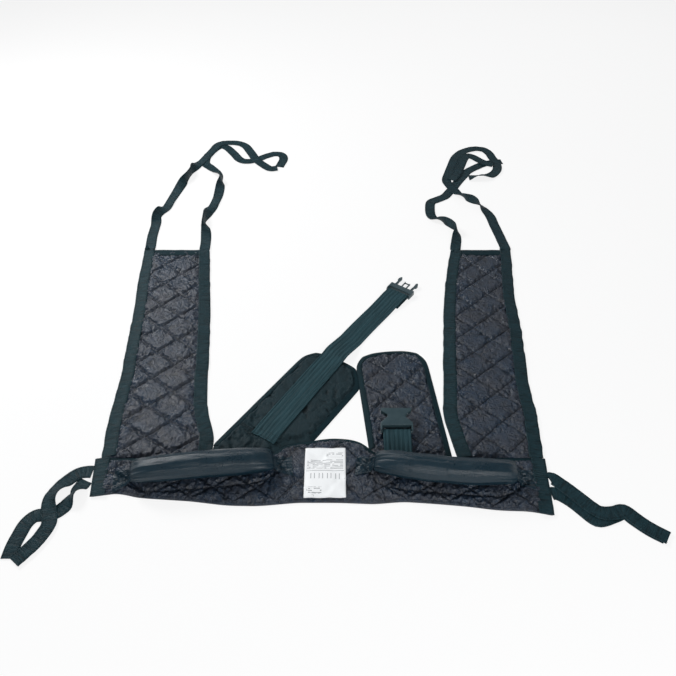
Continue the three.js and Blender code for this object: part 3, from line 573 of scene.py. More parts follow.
class Sheet:
    """A flat cut of cloth, with points along its rim, along its quilting lines and all over."""

    def __init__(self, outline, lines, step):
        self.outline, self.lines = outline, lines
        self.rim = spaced(outline, step, closed=True)
        held = np.vstack([spaced(line, step) for line in lines])
        held = held[within(held, self.rim)]
        held = held[distance_to(held, self.rim) > step * THREAD_RIM_SHARE]
        kept = []
        for k, p in enumerate(held):
            if not kept or np.hypot(*(held[kept] - p).T).min() > step * THREAD_GAP_SHARE:
                kept.append(k)
        self.threads = held[kept]
        low, high = self.rim.min(axis=0), self.rim.max(axis=0)
        rows = np.arange(low[1], high[1], step * math.sqrt(3) / 2)
        grid = np.array([(x, y) for k, y in enumerate(rows)
                         for x in np.arange(low[0] + step * 0.5 * (k % 2), high[0], step)])
        grid = grid[within(grid, self.rim)]
        grid = grid[distance_to(grid, self.rim) > step * GRID_GAP_SHARE]
        grid = grid[nearest(grid, self.threads) > step * GRID_GAP_SHARE]
        cut = np.vstack([self.rim, self.threads, grid])
        ring = [(k, (k + 1) % len(self.rim)) for k in range(len(self.rim))]
        made = geometry.delaunay_2d_cdt([Vector(p) for p in cut], ring, [], 1, 1e-7)
        self.points = np.array([p[:] for p in made[0]])
        self.faces = np.array([f for f in made[2] if len(f) == 3])
        a, b, c = (self.points[self.faces[:, k]] for k in range(3))
        down = (b[:, 0] - a[:, 0]) * (c[:, 1] - a[:, 1]) - (b[:, 1] - a[:, 1]) * (c[:, 0] - a[:, 0]) < 0
        self.faces[down] = self.faces[down][:, ::-1]
        self.to_line = nearest(self.points, self.threads)
        self.to_rim = distance_to(self.points, self.rim)


def halved(points, faces):
    """Points and triangles of a surface with each edge halved."""
    edges = np.sort(np.vstack([faces[:, [0, 1]], faces[:, [1, 2]], faces[:, [2, 0]]]), axis=1)
    edges, index = np.unique(edges, axis=0, return_inverse=True)
    ab, bc, ca = (index.reshape(-1) + len(points)).reshape(3, -1)
    a, b, c = faces.T
    finer = [np.column_stack(corners) for corners in ((a, ab, ca), (b, bc, ab), (c, ca, bc), (ab, bc, ca))]
    return np.vstack([points, points[edges].mean(axis=1)]), np.vstack(finer)


def shell(name, over, low, faces, material):
    """A closed body between an upper surface and a lower one."""
    count = len(over)
    walls = [[b, a, a + count, b + count] for a, b in open_sides(faces)]
    faces = np.vstack([faces, faces[:, ::-1] + count]).tolist() + walls
    points = np.vstack([over, np.column_stack([over[:, :2], low])])
    corner_uvs = points[[k for face in faces for k in face], :2]
    return new_piece(name, points, faces, corner_uvs, material)


def swell(sheet, rest, held, pressure_share, excess_share):
    """The points of a sheet after its free cloth, cut a little large, has swelled over the wadding."""
    zoom, frames = 10, 20
    scene = bpy.context.scene
    mesh = bpy.data.meshes.new("swelling")
    mesh.from_pydata([tuple(p) for p in rest * zoom], [], sheet.faces.tolist())
    cloth = bpy.data.objects.new("swelling", mesh)
    scene.collection.objects.link(cloth)
    group = cloth.vertex_groups.new(name="held")
    group.add([int(k) for k in np.where(held)[0]], 1, "REPLACE")
    modifier = cloth.modifiers.new("cloth", "CLOTH")
    settings = modifier.settings
    settings.vertex_group_mass = "held"
    settings.quality = 5
    settings.mass = 0.05
    settings.tension_stiffness = settings.compression_stiffness = 15
    settings.shear_stiffness = 5
    settings.bending_stiffness = 0.12
    settings.shrink_min = -scene.sling_sizes.quilt_excess * excess_share
    settings.use_pressure = True
    settings.uniform_pressure_force = scene.sling_sizes.quilt_pressure * pressure_share
    settings.effector_weights.gravity = 0
    modifier.collision_settings.use_collision = False
    for k in range(1, frames + 1):
        scene.frame_set(k)
    depsgraph = bpy.context.evaluated_depsgraph_get()
    settled = cloth.evaluated_get(depsgraph).data
    moved = np.array([v.co[:] for v in settled.vertices]) / zoom
    bpy.data.objects.remove(cloth)
    bpy.data.meshes.remove(mesh)
    scene.frame_set(1)
    return moved


def padded_top(sheet, margin, seed, crown=0.0022, pressure_share=1.0, excess_share=1.0):
    """The upper surface of a padded panel. margin is 0 on the rim and 1 where the padding starts."""
    thread_reach, shoulder, patch, patch_share = 0.0004, 0.0048, 0.012, 0.25
    slide_limit, quick_rise = 0.004, 0.0016
    soft_height, least_thickness = 0.0022, 0.0008
    base = lerp(RIM_TOP, SEAM_TOP, clamp(margin))
    held = (margin < 1) | (sheet.to_line < thread_reach)
    free = np.where(held, 0, 1 - np.exp(-(sheet.to_line / shoulder) ** 2))
    free *= clamp((margin - 1) * 2)
    x, y = sheet.points.T
    rest = np.column_stack([x, y, base + crown * free * (1 + patch_share * field(seed, x, y, patch))])
    moved = swell(sheet, rest, held, pressure_share, excess_share)
    slide = moved[:, :2] - rest[:, :2]
    far = np.maximum(np.linalg.norm(slide, axis=1) / slide_limit, 1)
    moved[:, :2] = rest[:, :2] + slide / far[:, None]
    knee = PADDING_TOP - soft_height
    room = PADDING_TOP - knee
    over = np.maximum(moved[:, 2] - knee, 0)
    moved[:, 2] = np.minimum(moved[:, 2], knee) + room * np.tanh(over / room)
    moved[:, 2] = np.maximum(moved[:, 2], PADDING_FLOOR + least_thickness)
    return moved


def crinkled(sheet, top, seed, pleats):
    """The upper surface with finer points and crinkles, its triangles, and a painted shade from 0 to 1 that
    is dark along the seams and in the crinkles' hollows. pleats gives a further rise over x and y."""
    warp, warp_span = 0.006, 0.02
    rim_band, seam_gap, seam_band, groove_width = 0.006, 0.0008, 0.003, 0.0011
    least_thickness, sharpness, held_share, free_share = 0.0007, 2.2, 0.3, 0.7
    groove_start, groove_share = 0.35, 0.6
    points, faces = halved(top, sheet.faces)
    x, y, z = points.T
    line = nearest(points, sheet.threads)
    rim = distance_to(points[:, :2], sheet.rim)
    bent = [values + warp * field(seed + k, x, y, warp_span) for k, values in ((81, x), (82, y))]
    folds = 0
    for k, (span, share) in enumerate(CRINKLES):
        folds = folds + share * (1 - np.abs(field(seed + 90 + k, *bent, span)) * sharpness)
    free = clamp((line - seam_gap) / seam_band) * clamp((rim - rim_band) / rim_band)
    rise = CRINKLE_DEPTH * folds * (held_share + free_share * free) * clamp(rim / rim_band) + pleats(x, y)
    points[:, 2] = np.clip(z + rise, PADDING_FLOOR + least_thickness, PADDING_TOP)
    # Painted shade: a dark line along each quilting seam, and darker colour where the crinkles dip
    painted_shade = np.exp(-(line / groove_width) ** 2) + clamp(-rise / CRINKLE_DEPTH - groove_start) * groove_share
    return points, faces, clamp(painted_shade)


def no_pleats(x, y):
    """No further rise anywhere."""
    return 0 * (x + y)


def panel(name, look, sheet, margin, seed, rides, inset, fill=0.5, pleats=no_pleats, **fullness):
    """The padded body of a panel, the lining under it, and its quilting stitches, which end at the
    inset. look is quilted or smooth. Returns the upper surface."""
    dimple_depth, dimple_reach = 0.0004, 0.003
    over, faces, painted_shade = crinkled(sheet, padded_top(sheet, margin, seed, **fullness), seed, pleats)
    body = shell(f"{name}_padding", over, np.full(len(over), PADDING_FLOOR), faces, finish_of(look))
    # Painted shade along the seams and in the crinkles' hollows, kept on the upper surface for the material
    mark = body.data.attributes.new("painted_shade", "FLOAT", "POINT")
    mark.data.foreach_set("value", np.concatenate([painted_shade, 0 * painted_shade]))
    flat = np.column_stack([sheet.points, np.full(len(sheet.points), LINING_TOP)])
    dimple = dimple_depth * np.exp(-(sheet.to_line / dimple_reach) ** 2)
    lining = shell(f"{name}_lining_cloth", flat, dimple, sheet.faces, finish_of("lining"))
    rides_on(body, rides, [f"{name}_{look}_face", f"{name}_wadding"])
    rides_on(lining, rides, [f"{name}_lining"])
    area = abs(double_area(sheet.rim)) / 2
    tree = bvhtree.BVHTree.FromPolygons([tuple(p) for p in over], faces.tolist())
    stitches(f"{name}_quilting", runs_inside(sheet, inset, tree), rides)
    return tree


def surface_of(name):
    """A finished piece, for finding heights on it."""
    mesh = bpy.data.objects[name].data
    faces = [p.vertices[:] for p in mesh.polygons]
    return bvhtree.BVHTree.FromPolygons([v.co[:] for v in mesh.vertices], faces)


def height_on(tree, x, y, fallback=SEAM_TOP):
    """The height of a surface below a point."""
    hit = tree.ray_cast(Vector((x, y, 0.1)), Vector((0, 0, -1)))[0]
    return hit.z if hit else fallback


def laid_on(tree, places, lift=THREAD_LIFT):
    """Flat places laid on a surface, with the thread's lift."""
    return np.array([(x, y, height_on(tree, x, y) + lift) for x, y in places])


# Shader nodes

def add_node(tree, kind, inputs=None, **settings):
    """A node with its settings, whose inputs take plain values or other nodes' outputs."""
    node = tree.nodes.new(kind)
    for name, value in settings.items():
        setattr(node, name, value)
    for name, value in (inputs or {}).items():
        if isinstance(value, bpy.types.NodeSocket):
            tree.links.new(value, node.inputs[name])
        else:
            node.inputs[name].default_value = value
    return node


def maths(tree, operation, a, b=0.0, c=0.0):
    """The result of one maths node."""
    return add_node(tree, "ShaderNodeMath", {0: a, 1: b, 2: c}, operation=operation).outputs[0]


def product(tree, first, *others):
    """Values multiplied together."""
    for other in others:
        first = maths(tree, "MULTIPLY", first, other)
    return first


def remap(tree, value, given=(0.0, 1.0), wanted=(0.0, 1.0)):
    """A value moved from one range to another."""
    limits = {"From Min": given[0], "From Max": given[1], "To Min": wanted[0], "To Max": wanted[1]}
    return add_node(tree, "ShaderNodeMapRange", {"Value": value, **limits}).outputs[0]


def mixed_colour(tree, share, one, two):
    """A colour a share of the way from one to two."""
    return add_node(tree, "ShaderNodeMix", {0: share, 6: one, 7: two}, data_type="RGBA").outputs[2]


def raised(tree, height, depth, strength, below=None):
    """A normal bent by a height, on top of the normal below it."""
    inputs = {"Height": height, "Distance": depth, "Strength": strength}
    if below is not None:
        inputs["Normal"] = below
    return add_node(tree, "ShaderNodeBump", inputs).outputs[0]


def place_group(tree, group, inputs):
    """The outputs of a group placed in a material, with its inputs filled in."""
    return add_node(tree, "ShaderNodeGroup", inputs, node_tree=group).outputs


def group_shell(name, inputs, outputs):
    """An empty shader node group with named sockets."""
    tree = bpy.data.node_groups.new(name, "ShaderNodeTree")
    for label, kind, default in inputs:
        socket = tree.interface.new_socket(label, in_out="INPUT", socket_type=kind)
        if default is not None:
            socket.default_value = default
    for label, kind in outputs:
        tree.interface.new_socket(label, in_out="OUTPUT", socket_type=kind)
    return tree, tree.nodes.new("NodeGroupInput").outputs, tree.nodes.new("NodeGroupOutput").inputs


def weave_group():
    """Threads that cross: Slant 0 is a plain weave, and 1 a twill."""
    if "crossed_threads" in bpy.data.node_groups:
        return bpy.data.node_groups["crossed_threads"]
    tree, given, wanted = group_shell(
        "crossed_threads",
        [("Vector", "NodeSocketVector", None), ("Warp", "NodeSocketFloat", 0.001),
         ("Weft", "NodeSocketFloat", 0.001), ("Slant", "NodeSocketFloat", 0.0)],
        [("Height", "NodeSocketFloat")],
    )
    split = add_node(tree, "ShaderNodeSeparateXYZ", {0: given["Vector"]}).outputs
    turns = [
        product(tree, maths(tree, "DIVIDE", split[k], given[pitch]), 2 * math.pi)
        for k, pitch in enumerate(("Warp", "Weft"))
    ]
    plain = product(tree, maths(tree, "SINE", turns[0]), maths(tree, "SINE", turns[1]))
    twill = maths(tree, "SINE", maths(tree, "ADD", *turns))
    both = maths(tree, "ADD",
                 product(tree, plain, maths(tree, "SUBTRACT", 1.0, given["Slant"])),
                 product(tree, twill, given["Slant"]))
    tree.links.new(maths(tree, "MULTIPLY_ADD", both, 0.5, 0.5), wanted["Height"])
    return tree


def wear_group():
    """Uneven colour: broad patches, a fine mottle and a few specks of lint."""
    if "cloth_wear" in bpy.data.node_groups:
        return bpy.data.node_groups["cloth_wear"]
    tree, given, wanted = group_shell(
        "cloth_wear",
        [("Vector", "NodeSocketVector", None), ("Colour", "NodeSocketColor", (0.1, 0.1, 0.1, 1)),
         ("Worn", "NodeSocketColor", (0.2, 0.2, 0.2, 1)), ("Span", "NodeSocketFloat", 0.06),
         ("Amount", "NodeSocketFloat", 0.6), ("Lint", "NodeSocketFloat", 0.3)],
        [("Color", "NodeSocketColor"), ("Mask", "NodeSocketFloat")],
    )
    lint_grey, lint_scale = (0.55, 0.57, 0.58, 1), 220.0
    mottle_scale, mottle_share, broad_share = 9.0, 0.35, 0.75
    patch_limits, speck_limits, rare_limits = (0.42, 0.68), (0.06, 0.03), (0.86, 0.9)
    vector = given["Vector"]
    scale = maths(tree, "DIVIDE", 1.0, given["Span"])
    broad = add_node(tree, "ShaderNodeTexNoise", {"Vector": vector, "Scale": scale, "Detail": 4.0,
                                                  "Roughness": 0.6}).outputs["Fac"]
    fine_scale = product(tree, scale, mottle_scale)
    fine = add_node(tree, "ShaderNodeTexNoise", {"Vector": vector, "Scale": fine_scale,
                                                 "Detail": 3.0}).outputs["Fac"]
    both = maths(tree, "MULTIPLY_ADD", fine, mottle_share, product(tree, broad, broad_share))
    mask = remap(tree, both, patch_limits)
    worn = mixed_colour(tree, product(tree, mask, given["Amount"]), given["Colour"], given["Worn"])
    specks = add_node(tree, "ShaderNodeTexVoronoi", {"Vector": vector, "Scale": lint_scale}).outputs
    dots = remap(tree, specks["Distance"], speck_limits)
    rare = remap(tree, specks["Color"], rare_limits)
    done = mixed_colour(tree, product(tree, dots, rare, given["Lint"]), worn, lint_grey)
    tree.links.new(done, wanted["Color"])
    tree.links.new(mask, wanted["Mask"])
    return tree


def crease_group():
    """Fine creases that run into each other, as in thin coated cloth."""
    if "fine_creases" in bpy.data.node_groups:
        return bpy.data.node_groups["fine_creases"]
    tree, given, wanted = group_shell(
        "fine_creases",
        [("Vector", "NodeSocketVector", None), ("Span", "NodeSocketFloat", 0.01),
         ("Stretch", "NodeSocketFloat", 1.0)],
        [("Height", "NodeSocketFloat")],
    )
    split = add_node(tree, "ShaderNodeSeparateXYZ", {0: given["Vector"]}).outputs
    drawn = add_node(tree, "ShaderNodeCombineXYZ", {
        0: split[0], 1: maths(tree, "DIVIDE", split[1], given["Stretch"]), 2: split[2],
    })
    noise = add_node(tree, "ShaderNodeTexNoise", {
        "Vector": drawn.outputs[0], "Scale": maths(tree, "DIVIDE", 1.0, given["Span"]),
        "Detail": 4.0, "Roughness": 0.55, "Distortion": 0.6,
    })
    fold = maths(tree, "ABSOLUTE", maths(tree, "MULTIPLY_ADD", noise.outputs["Fac"], 2.0, -1.0))
    tree.links.new(maths(tree, "SUBTRACT", 1.0, maths(tree, "POWER", fold, 0.7)), wanted["Height"])
    return tree


def opaque(rgb):
    """A colour with its alpha."""
    return (*rgb, 1.0)


def paler(rgb, times, more=0.0):
    """A colour made lighter."""
    return [value * times + more for value in rgb]


def new_material(name):
    """A material with nodes, with its tree and its shader."""
    material = bpy.data.materials.new(name)
    material.use_nodes = True
    return material, material.node_tree, material.node_tree.nodes["Principled BSDF"]


def cloth_material(name, base, worn, weave, slant=0.0, crease=(0.03, 1.0, 0.0003), rough=(0.5, 0.65),
                   wear=(0.06, 0.5, 0.25), thread_depth=0.00012, specular=0.1, painted_fold_shade=0.3):
    """Woven cloth. weave is the pitch of warp and weft, crease the span, stretch and depth of its creases,
    and wear the span and amount of its worn patches and of its lint."""
    if name in bpy.data.materials:
        return bpy.data.materials[name]
    material, tree, shader = new_material(name)
    uv = add_node(tree, "ShaderNodeUVMap", uv_map="cloth").outputs[0]
    colours = place_group(tree, wear_group(), {"Vector": uv, "Colour": opaque(base), "Worn": opaque(worn),
                                               "Span": wear[0], "Amount": wear[1], "Lint": wear[2]})
    threads = place_group(tree, weave_group(), {"Vector": uv, "Warp": weave[0], "Weft": weave[1],
                                                "Slant": slant})["Height"]
    folds = place_group(tree, crease_group(), {"Vector": uv, "Span": crease[0],
                                               "Stretch": crease[1]})["Height"]
    # Painted shade and highlight: the colour is darker between the woven threads, darker in the creases'
    # hollows and lighter on their crests by the fold shading share, and darker along the seams and hollows
    # that the panel's attribute marks
    painted_shade = add_node(tree, "ShaderNodeAttribute", attribute_name="painted_shade").outputs["Fac"]
    thread_shade, fold_limits, groove_shade = (0.82, 1.08), (0.3, 1.0), (1.0, 0.08)
    shade = product(tree,
                    remap(tree, threads, wanted=thread_shade),
                    remap(tree, folds, fold_limits, (1 - painted_fold_shade, 1 + painted_fold_shade)),
                    remap(tree, painted_shade, wanted=groove_shade))
    toned = add_node(tree, "ShaderNodeVectorMath", {0: colours["Color"]}, operation="SCALE")
    tree.links.new(shade, toned.inputs["Scale"])
    tree.links.new(toned.outputs[0], shader.inputs["Base Color"])
    tree.links.new(remap(tree, colours["Mask"], wanted=rough), shader.inputs["Roughness"])
    creased = raised(tree, folds, crease[2], 0.9)
    tree.links.new(raised(tree, threads, thread_depth, 0.8, creased), shader.inputs["Normal"])
    shader.inputs["Specular IOR Level"].default_value = specular
    return material


def plastic_material(name, base):
    """Moulded plastic with a fine grain and rubbed patches."""
    if name in bpy.data.materials:
        return bpy.data.materials[name]
    grain_scale, grain_depth, gloss = 1800.0, 0.00005, (0.32, 0.5)
    material, tree, shader = new_material(name)
    place = add_node(tree, "ShaderNodeTexCoord").outputs["Object"]
    colours = place_group(tree, wear_group(), {"Vector": place, "Colour": opaque(base),
                                               "Worn": opaque(paler(base, 1.5, 0.01)),
                                               "Span": 0.02, "Amount": 0.35, "Lint": 0.1})
    tree.links.new(colours["Color"], shader.inputs["Base Color"])
    tree.links.new(remap(tree, colours["Mask"], wanted=gloss), shader.inputs["Roughness"])
    grain = add_node(tree, "ShaderNodeTexNoise", {"Vector": place, "Scale": grain_scale, "Detail": 2.0})
    tree.links.new(raised(tree, grain.outputs["Fac"], grain_depth, 0.5), shader.inputs["Normal"])
    return material


# Rows of print on the label, as shares of its size: low, high, left, right, rows in all, height of a row
PRINT_SHARES = (
    (0.80, 0.90, 0.52, 0.94, 28, 0.5),
    (0.56, 0.75, 0.06, 0.94, 34, 0.42),
    (0.06, 0.20, 0.10, 0.42, 26, 0.5),
)
PRINT_DASH = (0.0035, 0.0029, 1.0)
PRINT_GAP_SHARE = 0.3
INK_SHARE = 0.75
BAR_ROW_SHARES = (0.36, 0.47, 0.06, 0.94)
RULE_SHARES = (0.515, 0.525, 0.04, 0.96)
BAR_PAIR_COUNT = 5.0
BAR_SIDE_SHARES = (0.24, 0.33)


def label_material(name, base, ink, width, length):
    """White label cloth printed with rows of dashes, a ruled line and a row of bars."""
    if name in bpy.data.materials:
        return bpy.data.materials[name]
    material, tree, shader = new_material(name)
    uv = add_node(tree, "ShaderNodeUVMap", uv_map="cloth").outputs[0]
    split = add_node(tree, "ShaderNodeSeparateXYZ", {0: uv}).outputs
    across = maths(tree, "DIVIDE", split[0], width)
    down = maths(tree, "DIVIDE", split[1], length)

    def between(value, low, high):
        return product(tree, maths(tree, "GREATER_THAN", value, low), maths(tree, "LESS_THAN", value, high))

    def zone(low, high, left, right):
        return product(tree, between(down, low, high), between(across, left, right))

    def stepped(value, count):
        return maths(tree, "FRACT", product(tree, value, count))

    snapped = add_node(tree, "ShaderNodeVectorMath", {0: uv, 1: PRINT_DASH}, operation="SNAP").outputs[0]
    noise = add_node(tree, "ShaderNodeTexWhiteNoise", {"Vector": snapped}).outputs["Value"]
    dashes = maths(tree, "GREATER_THAN", noise, PRINT_GAP_SHARE)
    marks = [product(tree, zone(*shares), maths(tree, "LESS_THAN", stepped(down, count), share), dashes)
             for *shares, count, share in PRINT_SHARES]
    from_middle = maths(tree, "ABSOLUTE", maths(tree, "SUBTRACT", stepped(across, BAR_PAIR_COUNT), 0.5))
    marks.append(product(tree, zone(*BAR_ROW_SHARES), between(from_middle, *BAR_SIDE_SHARES)))
    marks.append(zone(*RULE_SHARES))
    ink_mask = marks[0]
    for mark in marks[1:]:
        ink_mask = maths(tree, "MAXIMUM", ink_mask, mark)
    printed = mixed_colour(tree, product(tree, ink_mask, INK_SHARE), opaque(base), opaque(ink))
    tree.links.new(printed, shader.inputs["Base Color"])
    threads = place_group(tree, weave_group(), {"Vector": uv, "Warp": 0.0006, "Weft": 0.0006, "Slant": 0.0})
    folds = place_group(tree, crease_group(), {"Vector": uv, "Span": 0.03, "Stretch": 2.0})
    creased = raised(tree, folds["Height"], 0.0004, 0.6)
    tree.links.new(raised(tree, threads["Height"], 0.00004, 0.5, creased), shader.inputs["Normal"])
    shader.inputs["Roughness"].default_value = 0.55
    return material


def finish_of(kind):
    """The material of a kind of cloth, webbing or plastic, made once."""
    c = bpy.context.scene.sling_colours
    if kind == "plastic":
        return plastic_material("buckle_moulding", c.plastic)
    name, base, worn, weave, look = {
        "quilted": ("quilted_nylon_cloth", c.quilt, c.quilt_warm, (0.0006, 0.0006), {
            "rough": (0.26, 0.4), "crease": (0.012, 1.0, 0.0026), "wear": (0.07, 0.6, 0.12),
            "specular": 0.5, "painted_fold_shade": 0.8}),
        "smooth": ("smooth_nylon_cloth", c.smooth, paler(c.smooth, 1.35), (0.0006, 0.0006), {
            "rough": (0.45, 0.62), "crease": (0.022, 1.6, 0.0010)}),
        "lining": ("lining_weave", c.lining, paler(c.lining, 1.5), (0.0009, 0.0009), {
            "rough": (0.7, 0.85), "crease": (0.03, 1.0, 0.0006)}),
        "webbing": ("edge_webbing_twill", c.webbing, paler(c.webbing, 1.5, 0.004), (0.0021, 0.0017), {
            "slant": 0.8, "rough": (0.42, 0.6), "wear": (0.03, 0.5, 0.35), "thread_depth": 0.00025,
            "crease": (0.03, 0.16, 0.0018), "specular": 0.18, "painted_fold_shade": 0.7}),
        "waist": ("waist_webbing_weave", c.waist, paler(c.waist, 1.3), (0.0018, 0.0012), {
            "rough": (0.5, 0.65), "wear": (0.03, 0.4, 0.3), "thread_depth": 0.00022,
            "crease": (0.006, 20.0, 0.0008), "painted_fold_shade": 0.5}),
        "binding": ("binding_tape_weave", c.binding, paler(c.binding, 1.4), (0.0008, 0.0010), {
            "slant": 0.4, "rough": (0.6, 0.75), "crease": (0.012, 3.0, 0.0003)}),
        "grip": ("grip_satin", c.grip, paler(c.grip, 1.35, 0.003), (0.0005, 0.0005), {
            "rough": (0.26, 0.38), "crease": (0.006, 0.3, 0.0004), "wear": (0.04, 0.5, 0.1),
            "thread_depth": 0.00004, "specular": 0.4}),
        "thread": ("sewing_thread", c.thread, paler(c.thread, 1.6), (0.0004, 0.0004), {
            "slant": 1.0, "rough": (0.5, 0.6)}),
    }[kind]
    return cloth_material(name, base, worn, weave, **look)


# Stitches

def stitch_tree():
    """Geometry nodes that lay stitches along the edges of a mesh."""
    if "stitch_run" in bpy.data.node_groups:
        return bpy.data.node_groups["stitch_run"]
    tree = bpy.data.node_groups.new("stitch_run", "GeometryNodeTree")
    for name, way, kind, default in (
        ("Geometry", "INPUT", "NodeSocketGeometry", None),
        ("Pitch", "INPUT", "NodeSocketFloat", 0.0037),
        ("Length", "INPUT", "NodeSocketFloat", 0.0026),
        ("Thickness", "INPUT", "NodeSocketFloat", 0.0006),
        ("Unevenness", "INPUT", "NodeSocketFloat", 0.12),
        ("Seed", "INPUT", "NodeSocketInt", 7),
        ("Thread", "INPUT", "NodeSocketMaterial", None),
        ("Geometry", "OUTPUT", "NodeSocketGeometry", None),
    ):
        socket = tree.interface.new_socket(name, in_out=way, socket_type=kind)
        if default is not None:
            socket.default_value = default
    given = tree.nodes.new("NodeGroupInput").outputs
    thickness, spread = given["Thickness"], given["Unevenness"]
    curve = add_node(tree, "GeometryNodeMeshToCurve", {"Mesh": given["Geometry"]}).outputs[0]
    run = add_node(tree, "GeometryNodeResampleCurve", {"Curve": curve, "Length": given["Pitch"]},
                   mode="LENGTH").outputs[0]
    ball = add_node(tree, "GeometryNodeMeshUVSphere", {"Segments": 6, "Rings": 4, "Radius": 0.5})
    size = add_node(tree, "ShaderNodeCombineXYZ", {0: given["Length"], 1: thickness, 2: thickness})
    stitch = add_node(tree, "GeometryNodeTransform", {"Geometry": ball.outputs["Mesh"],
                                                      "Scale": size.outputs[0]}).outputs[0]
    limits = {"Max": spread, "Min": product(tree, spread, -1.0)}
    lean = add_node(tree, "FunctionNodeRandomValue", {"Seed": given["Seed"], **limits},
                    data_type="FLOAT_VECTOR").outputs["Value"]
    tangent = add_node(tree, "GeometryNodeInputTangent").outputs[0]
    heading = add_node(tree, "ShaderNodeVectorMath", {0: tangent, 1: lean}, operation="ADD").outputs[0]
    turn = add_node(tree, "FunctionNodeAlignRotationToVector", {"Vector": heading}, axis="X").outputs[0]
    laid = add_node(tree, "GeometryNodeInstanceOnPoints", {"Points": run, "Instance": stitch,
                                                           "Rotation": turn}).outputs[0]
    real = add_node(tree, "GeometryNodeRealizeInstances", {"Geometry": laid}).outputs[0]
    soft = add_node(tree, "GeometryNodeSetShadeSmooth", {"Geometry": real}).outputs[0]
    done = add_node(tree, "GeometryNodeSetMaterial", {"Geometry": soft, "Material": given["Thread"]})
    tree.links.new(done.outputs[0], tree.nodes.new("NodeGroupOutput").inputs[0])
    return tree


def stitches(name, lines, rides):
    """Stitches along lines of points, as one plain mesh."""
    sizes = bpy.context.scene.sling_sizes
    points, edges = [], []
    for line in lines:
        edges += [(len(points) + k, len(points) + k + 1) for k in range(len(line) - 1)]
        points += [tuple(p) for p in line]
    mesh = bpy.data.meshes.new(f"{name}_runs")
    mesh.from_pydata(points, edges, [])
    runs = bpy.data.objects.new(f"{name}_runs", mesh)
    bpy.context.scene.collection.objects.link(runs)
    tree = stitch_tree()
    sockets = {item.name: item.identifier for item in tree.interface.items_tree if item.in_out == "INPUT"}
    modifier = runs.modifiers.new("stitches", "NODES")
    modifier.node_group = tree
    for label, value in (("Pitch", sizes.stitch_pitch), ("Length", sizes.stitch_length),
                         ("Thickness", sizes.thread_width), ("Thread", finish_of("thread"))):
        modifier[sockets[label]] = value
    depsgraph = bpy.context.evaluated_depsgraph_get()
    made = bpy.data.meshes.new_from_object(runs.evaluated_get(depsgraph))
    bpy.data.objects.remove(runs)
    bpy.data.meshes.remove(mesh)
    made.name = name
    places = np.array([v.co[:2] for v in made.vertices])
    corners = np.array([loop.vertex_index for loop in made.loops])
    made.uv_layers.new(name="cloth").data.foreach_set("uv", places[corners].ravel())
    piece = bpy.data.objects.new(name, made)
    bpy.context.scene.collection.objects.link(piece)
    rides_on(piece, rides)


def runs_inside(sheet, inset, tree):
    """The parts of a sheet's quilting lines that lie further in than the inset, laid on a surface."""
    runs = []
    for line in sheet.lines:
        line = spaced(line, STITCH_STEP)
        keep = within(line, sheet.outline) & (distance_to(line, sheet.outline) > inset)
        for inside, group in groupby(zip(keep, line), key=lambda pair: bool(pair[0])):
            run = [place for _, place in group]
            if inside and len(run) > 2:
                runs.append(laid_on(tree, run))
    return runs


# Webbing

def chain_of(node, heading):
    """The middle of a strap's two edges at each bend of its CAD solid, from the end that lies
    furthest back against the heading. Returns left edge and right edge."""
    points, faces = welded(node)
    linked = [set() for _ in points]
    for f in faces:
        for k in range(3):
            linked[f[k]].add(int(f[(k + 1) % 3]))
            linked[f[(k + 1) % 3]].add(int(f[k]))
    # A strap's end has three corners with four neighbours, and the middle one of them joins the others
    reach = WAIST_WEBBING_WIDTH * 1.1
    corners = {k for k in range(len(points)) if len(linked[k]) == 4}
    beside = {k: {n for n in linked[k] & corners if math.dist(points[k], points[n]) < reach}
              for k in corners}
    middles = [k for k in corners if len(beside[k]) == 2]
    middle = min(middles, key=lambda k: points[k, :2] @ np.array(heading, float))
    one, two = beside[middle]
    fourth = np.argmin(np.linalg.norm(points - (points[one] + points[two] - points[middle]), axis=1))
    ring = [middle, one, two, int(fourth)]
    seen, rings = set(ring), [ring]
    while True:
        following = sorted({n for k in rings[-1] for n in linked[k]} - seen)
        if not following:
            break
        seen |= set(following)
        rings.append(following)
    left, right = [], []
    for ring in rings:
        corner = points[ring]
        gaps = np.linalg.norm(corner[0] - corner, axis=1)
        gaps[0] = np.inf
        mate = int(np.argmin(gaps))
        rest = [k for k in range(4) if k not in (0, mate)]
        one, two = corner[[0, mate]].mean(axis=0), corner[rest].mean(axis=0)
        if left:
            straight = np.linalg.norm(one - left[-1]) + np.linalg.norm(two - right[-1])
            crossed = np.linalg.norm(two - left[-1]) + np.linalg.norm(one - right[-1])
            if crossed < straight:
                one, two = two, one
        left.append(one)
        right.append(two)
    left, right = np.array(left), np.array(right)
    ahead = (left[1] + right[1] - left[0] - right[0])[:2]
    across = (right[0] - left[0])[:2]
    if ahead[0] * across[1] - ahead[1] * across[0] > 0:
        left, right = right, left
    return left, right


def smooth_through(points, step_count):
    """A smooth curve through points, with even steps between each pair."""
    padded = np.vstack([2 * points[0] - points[1], points, 2 * points[-1] - points[-2]])
    out = []
    for k in range(1, len(padded) - 2):
        a, b, c, d = padded[k - 1:k + 3]
        t = np.linspace(0, 1, step_count[k - 1], endpoint=False)[:, None]
        out.append(0.5 * (2 * b + (c - a) * t + (2 * a - 5 * b + 4 * c - d) * t ** 2
                          + (3 * b - a - 3 * c + d) * t ** 3))
    out.append(padded[-2][None])
    return np.vstack(out)


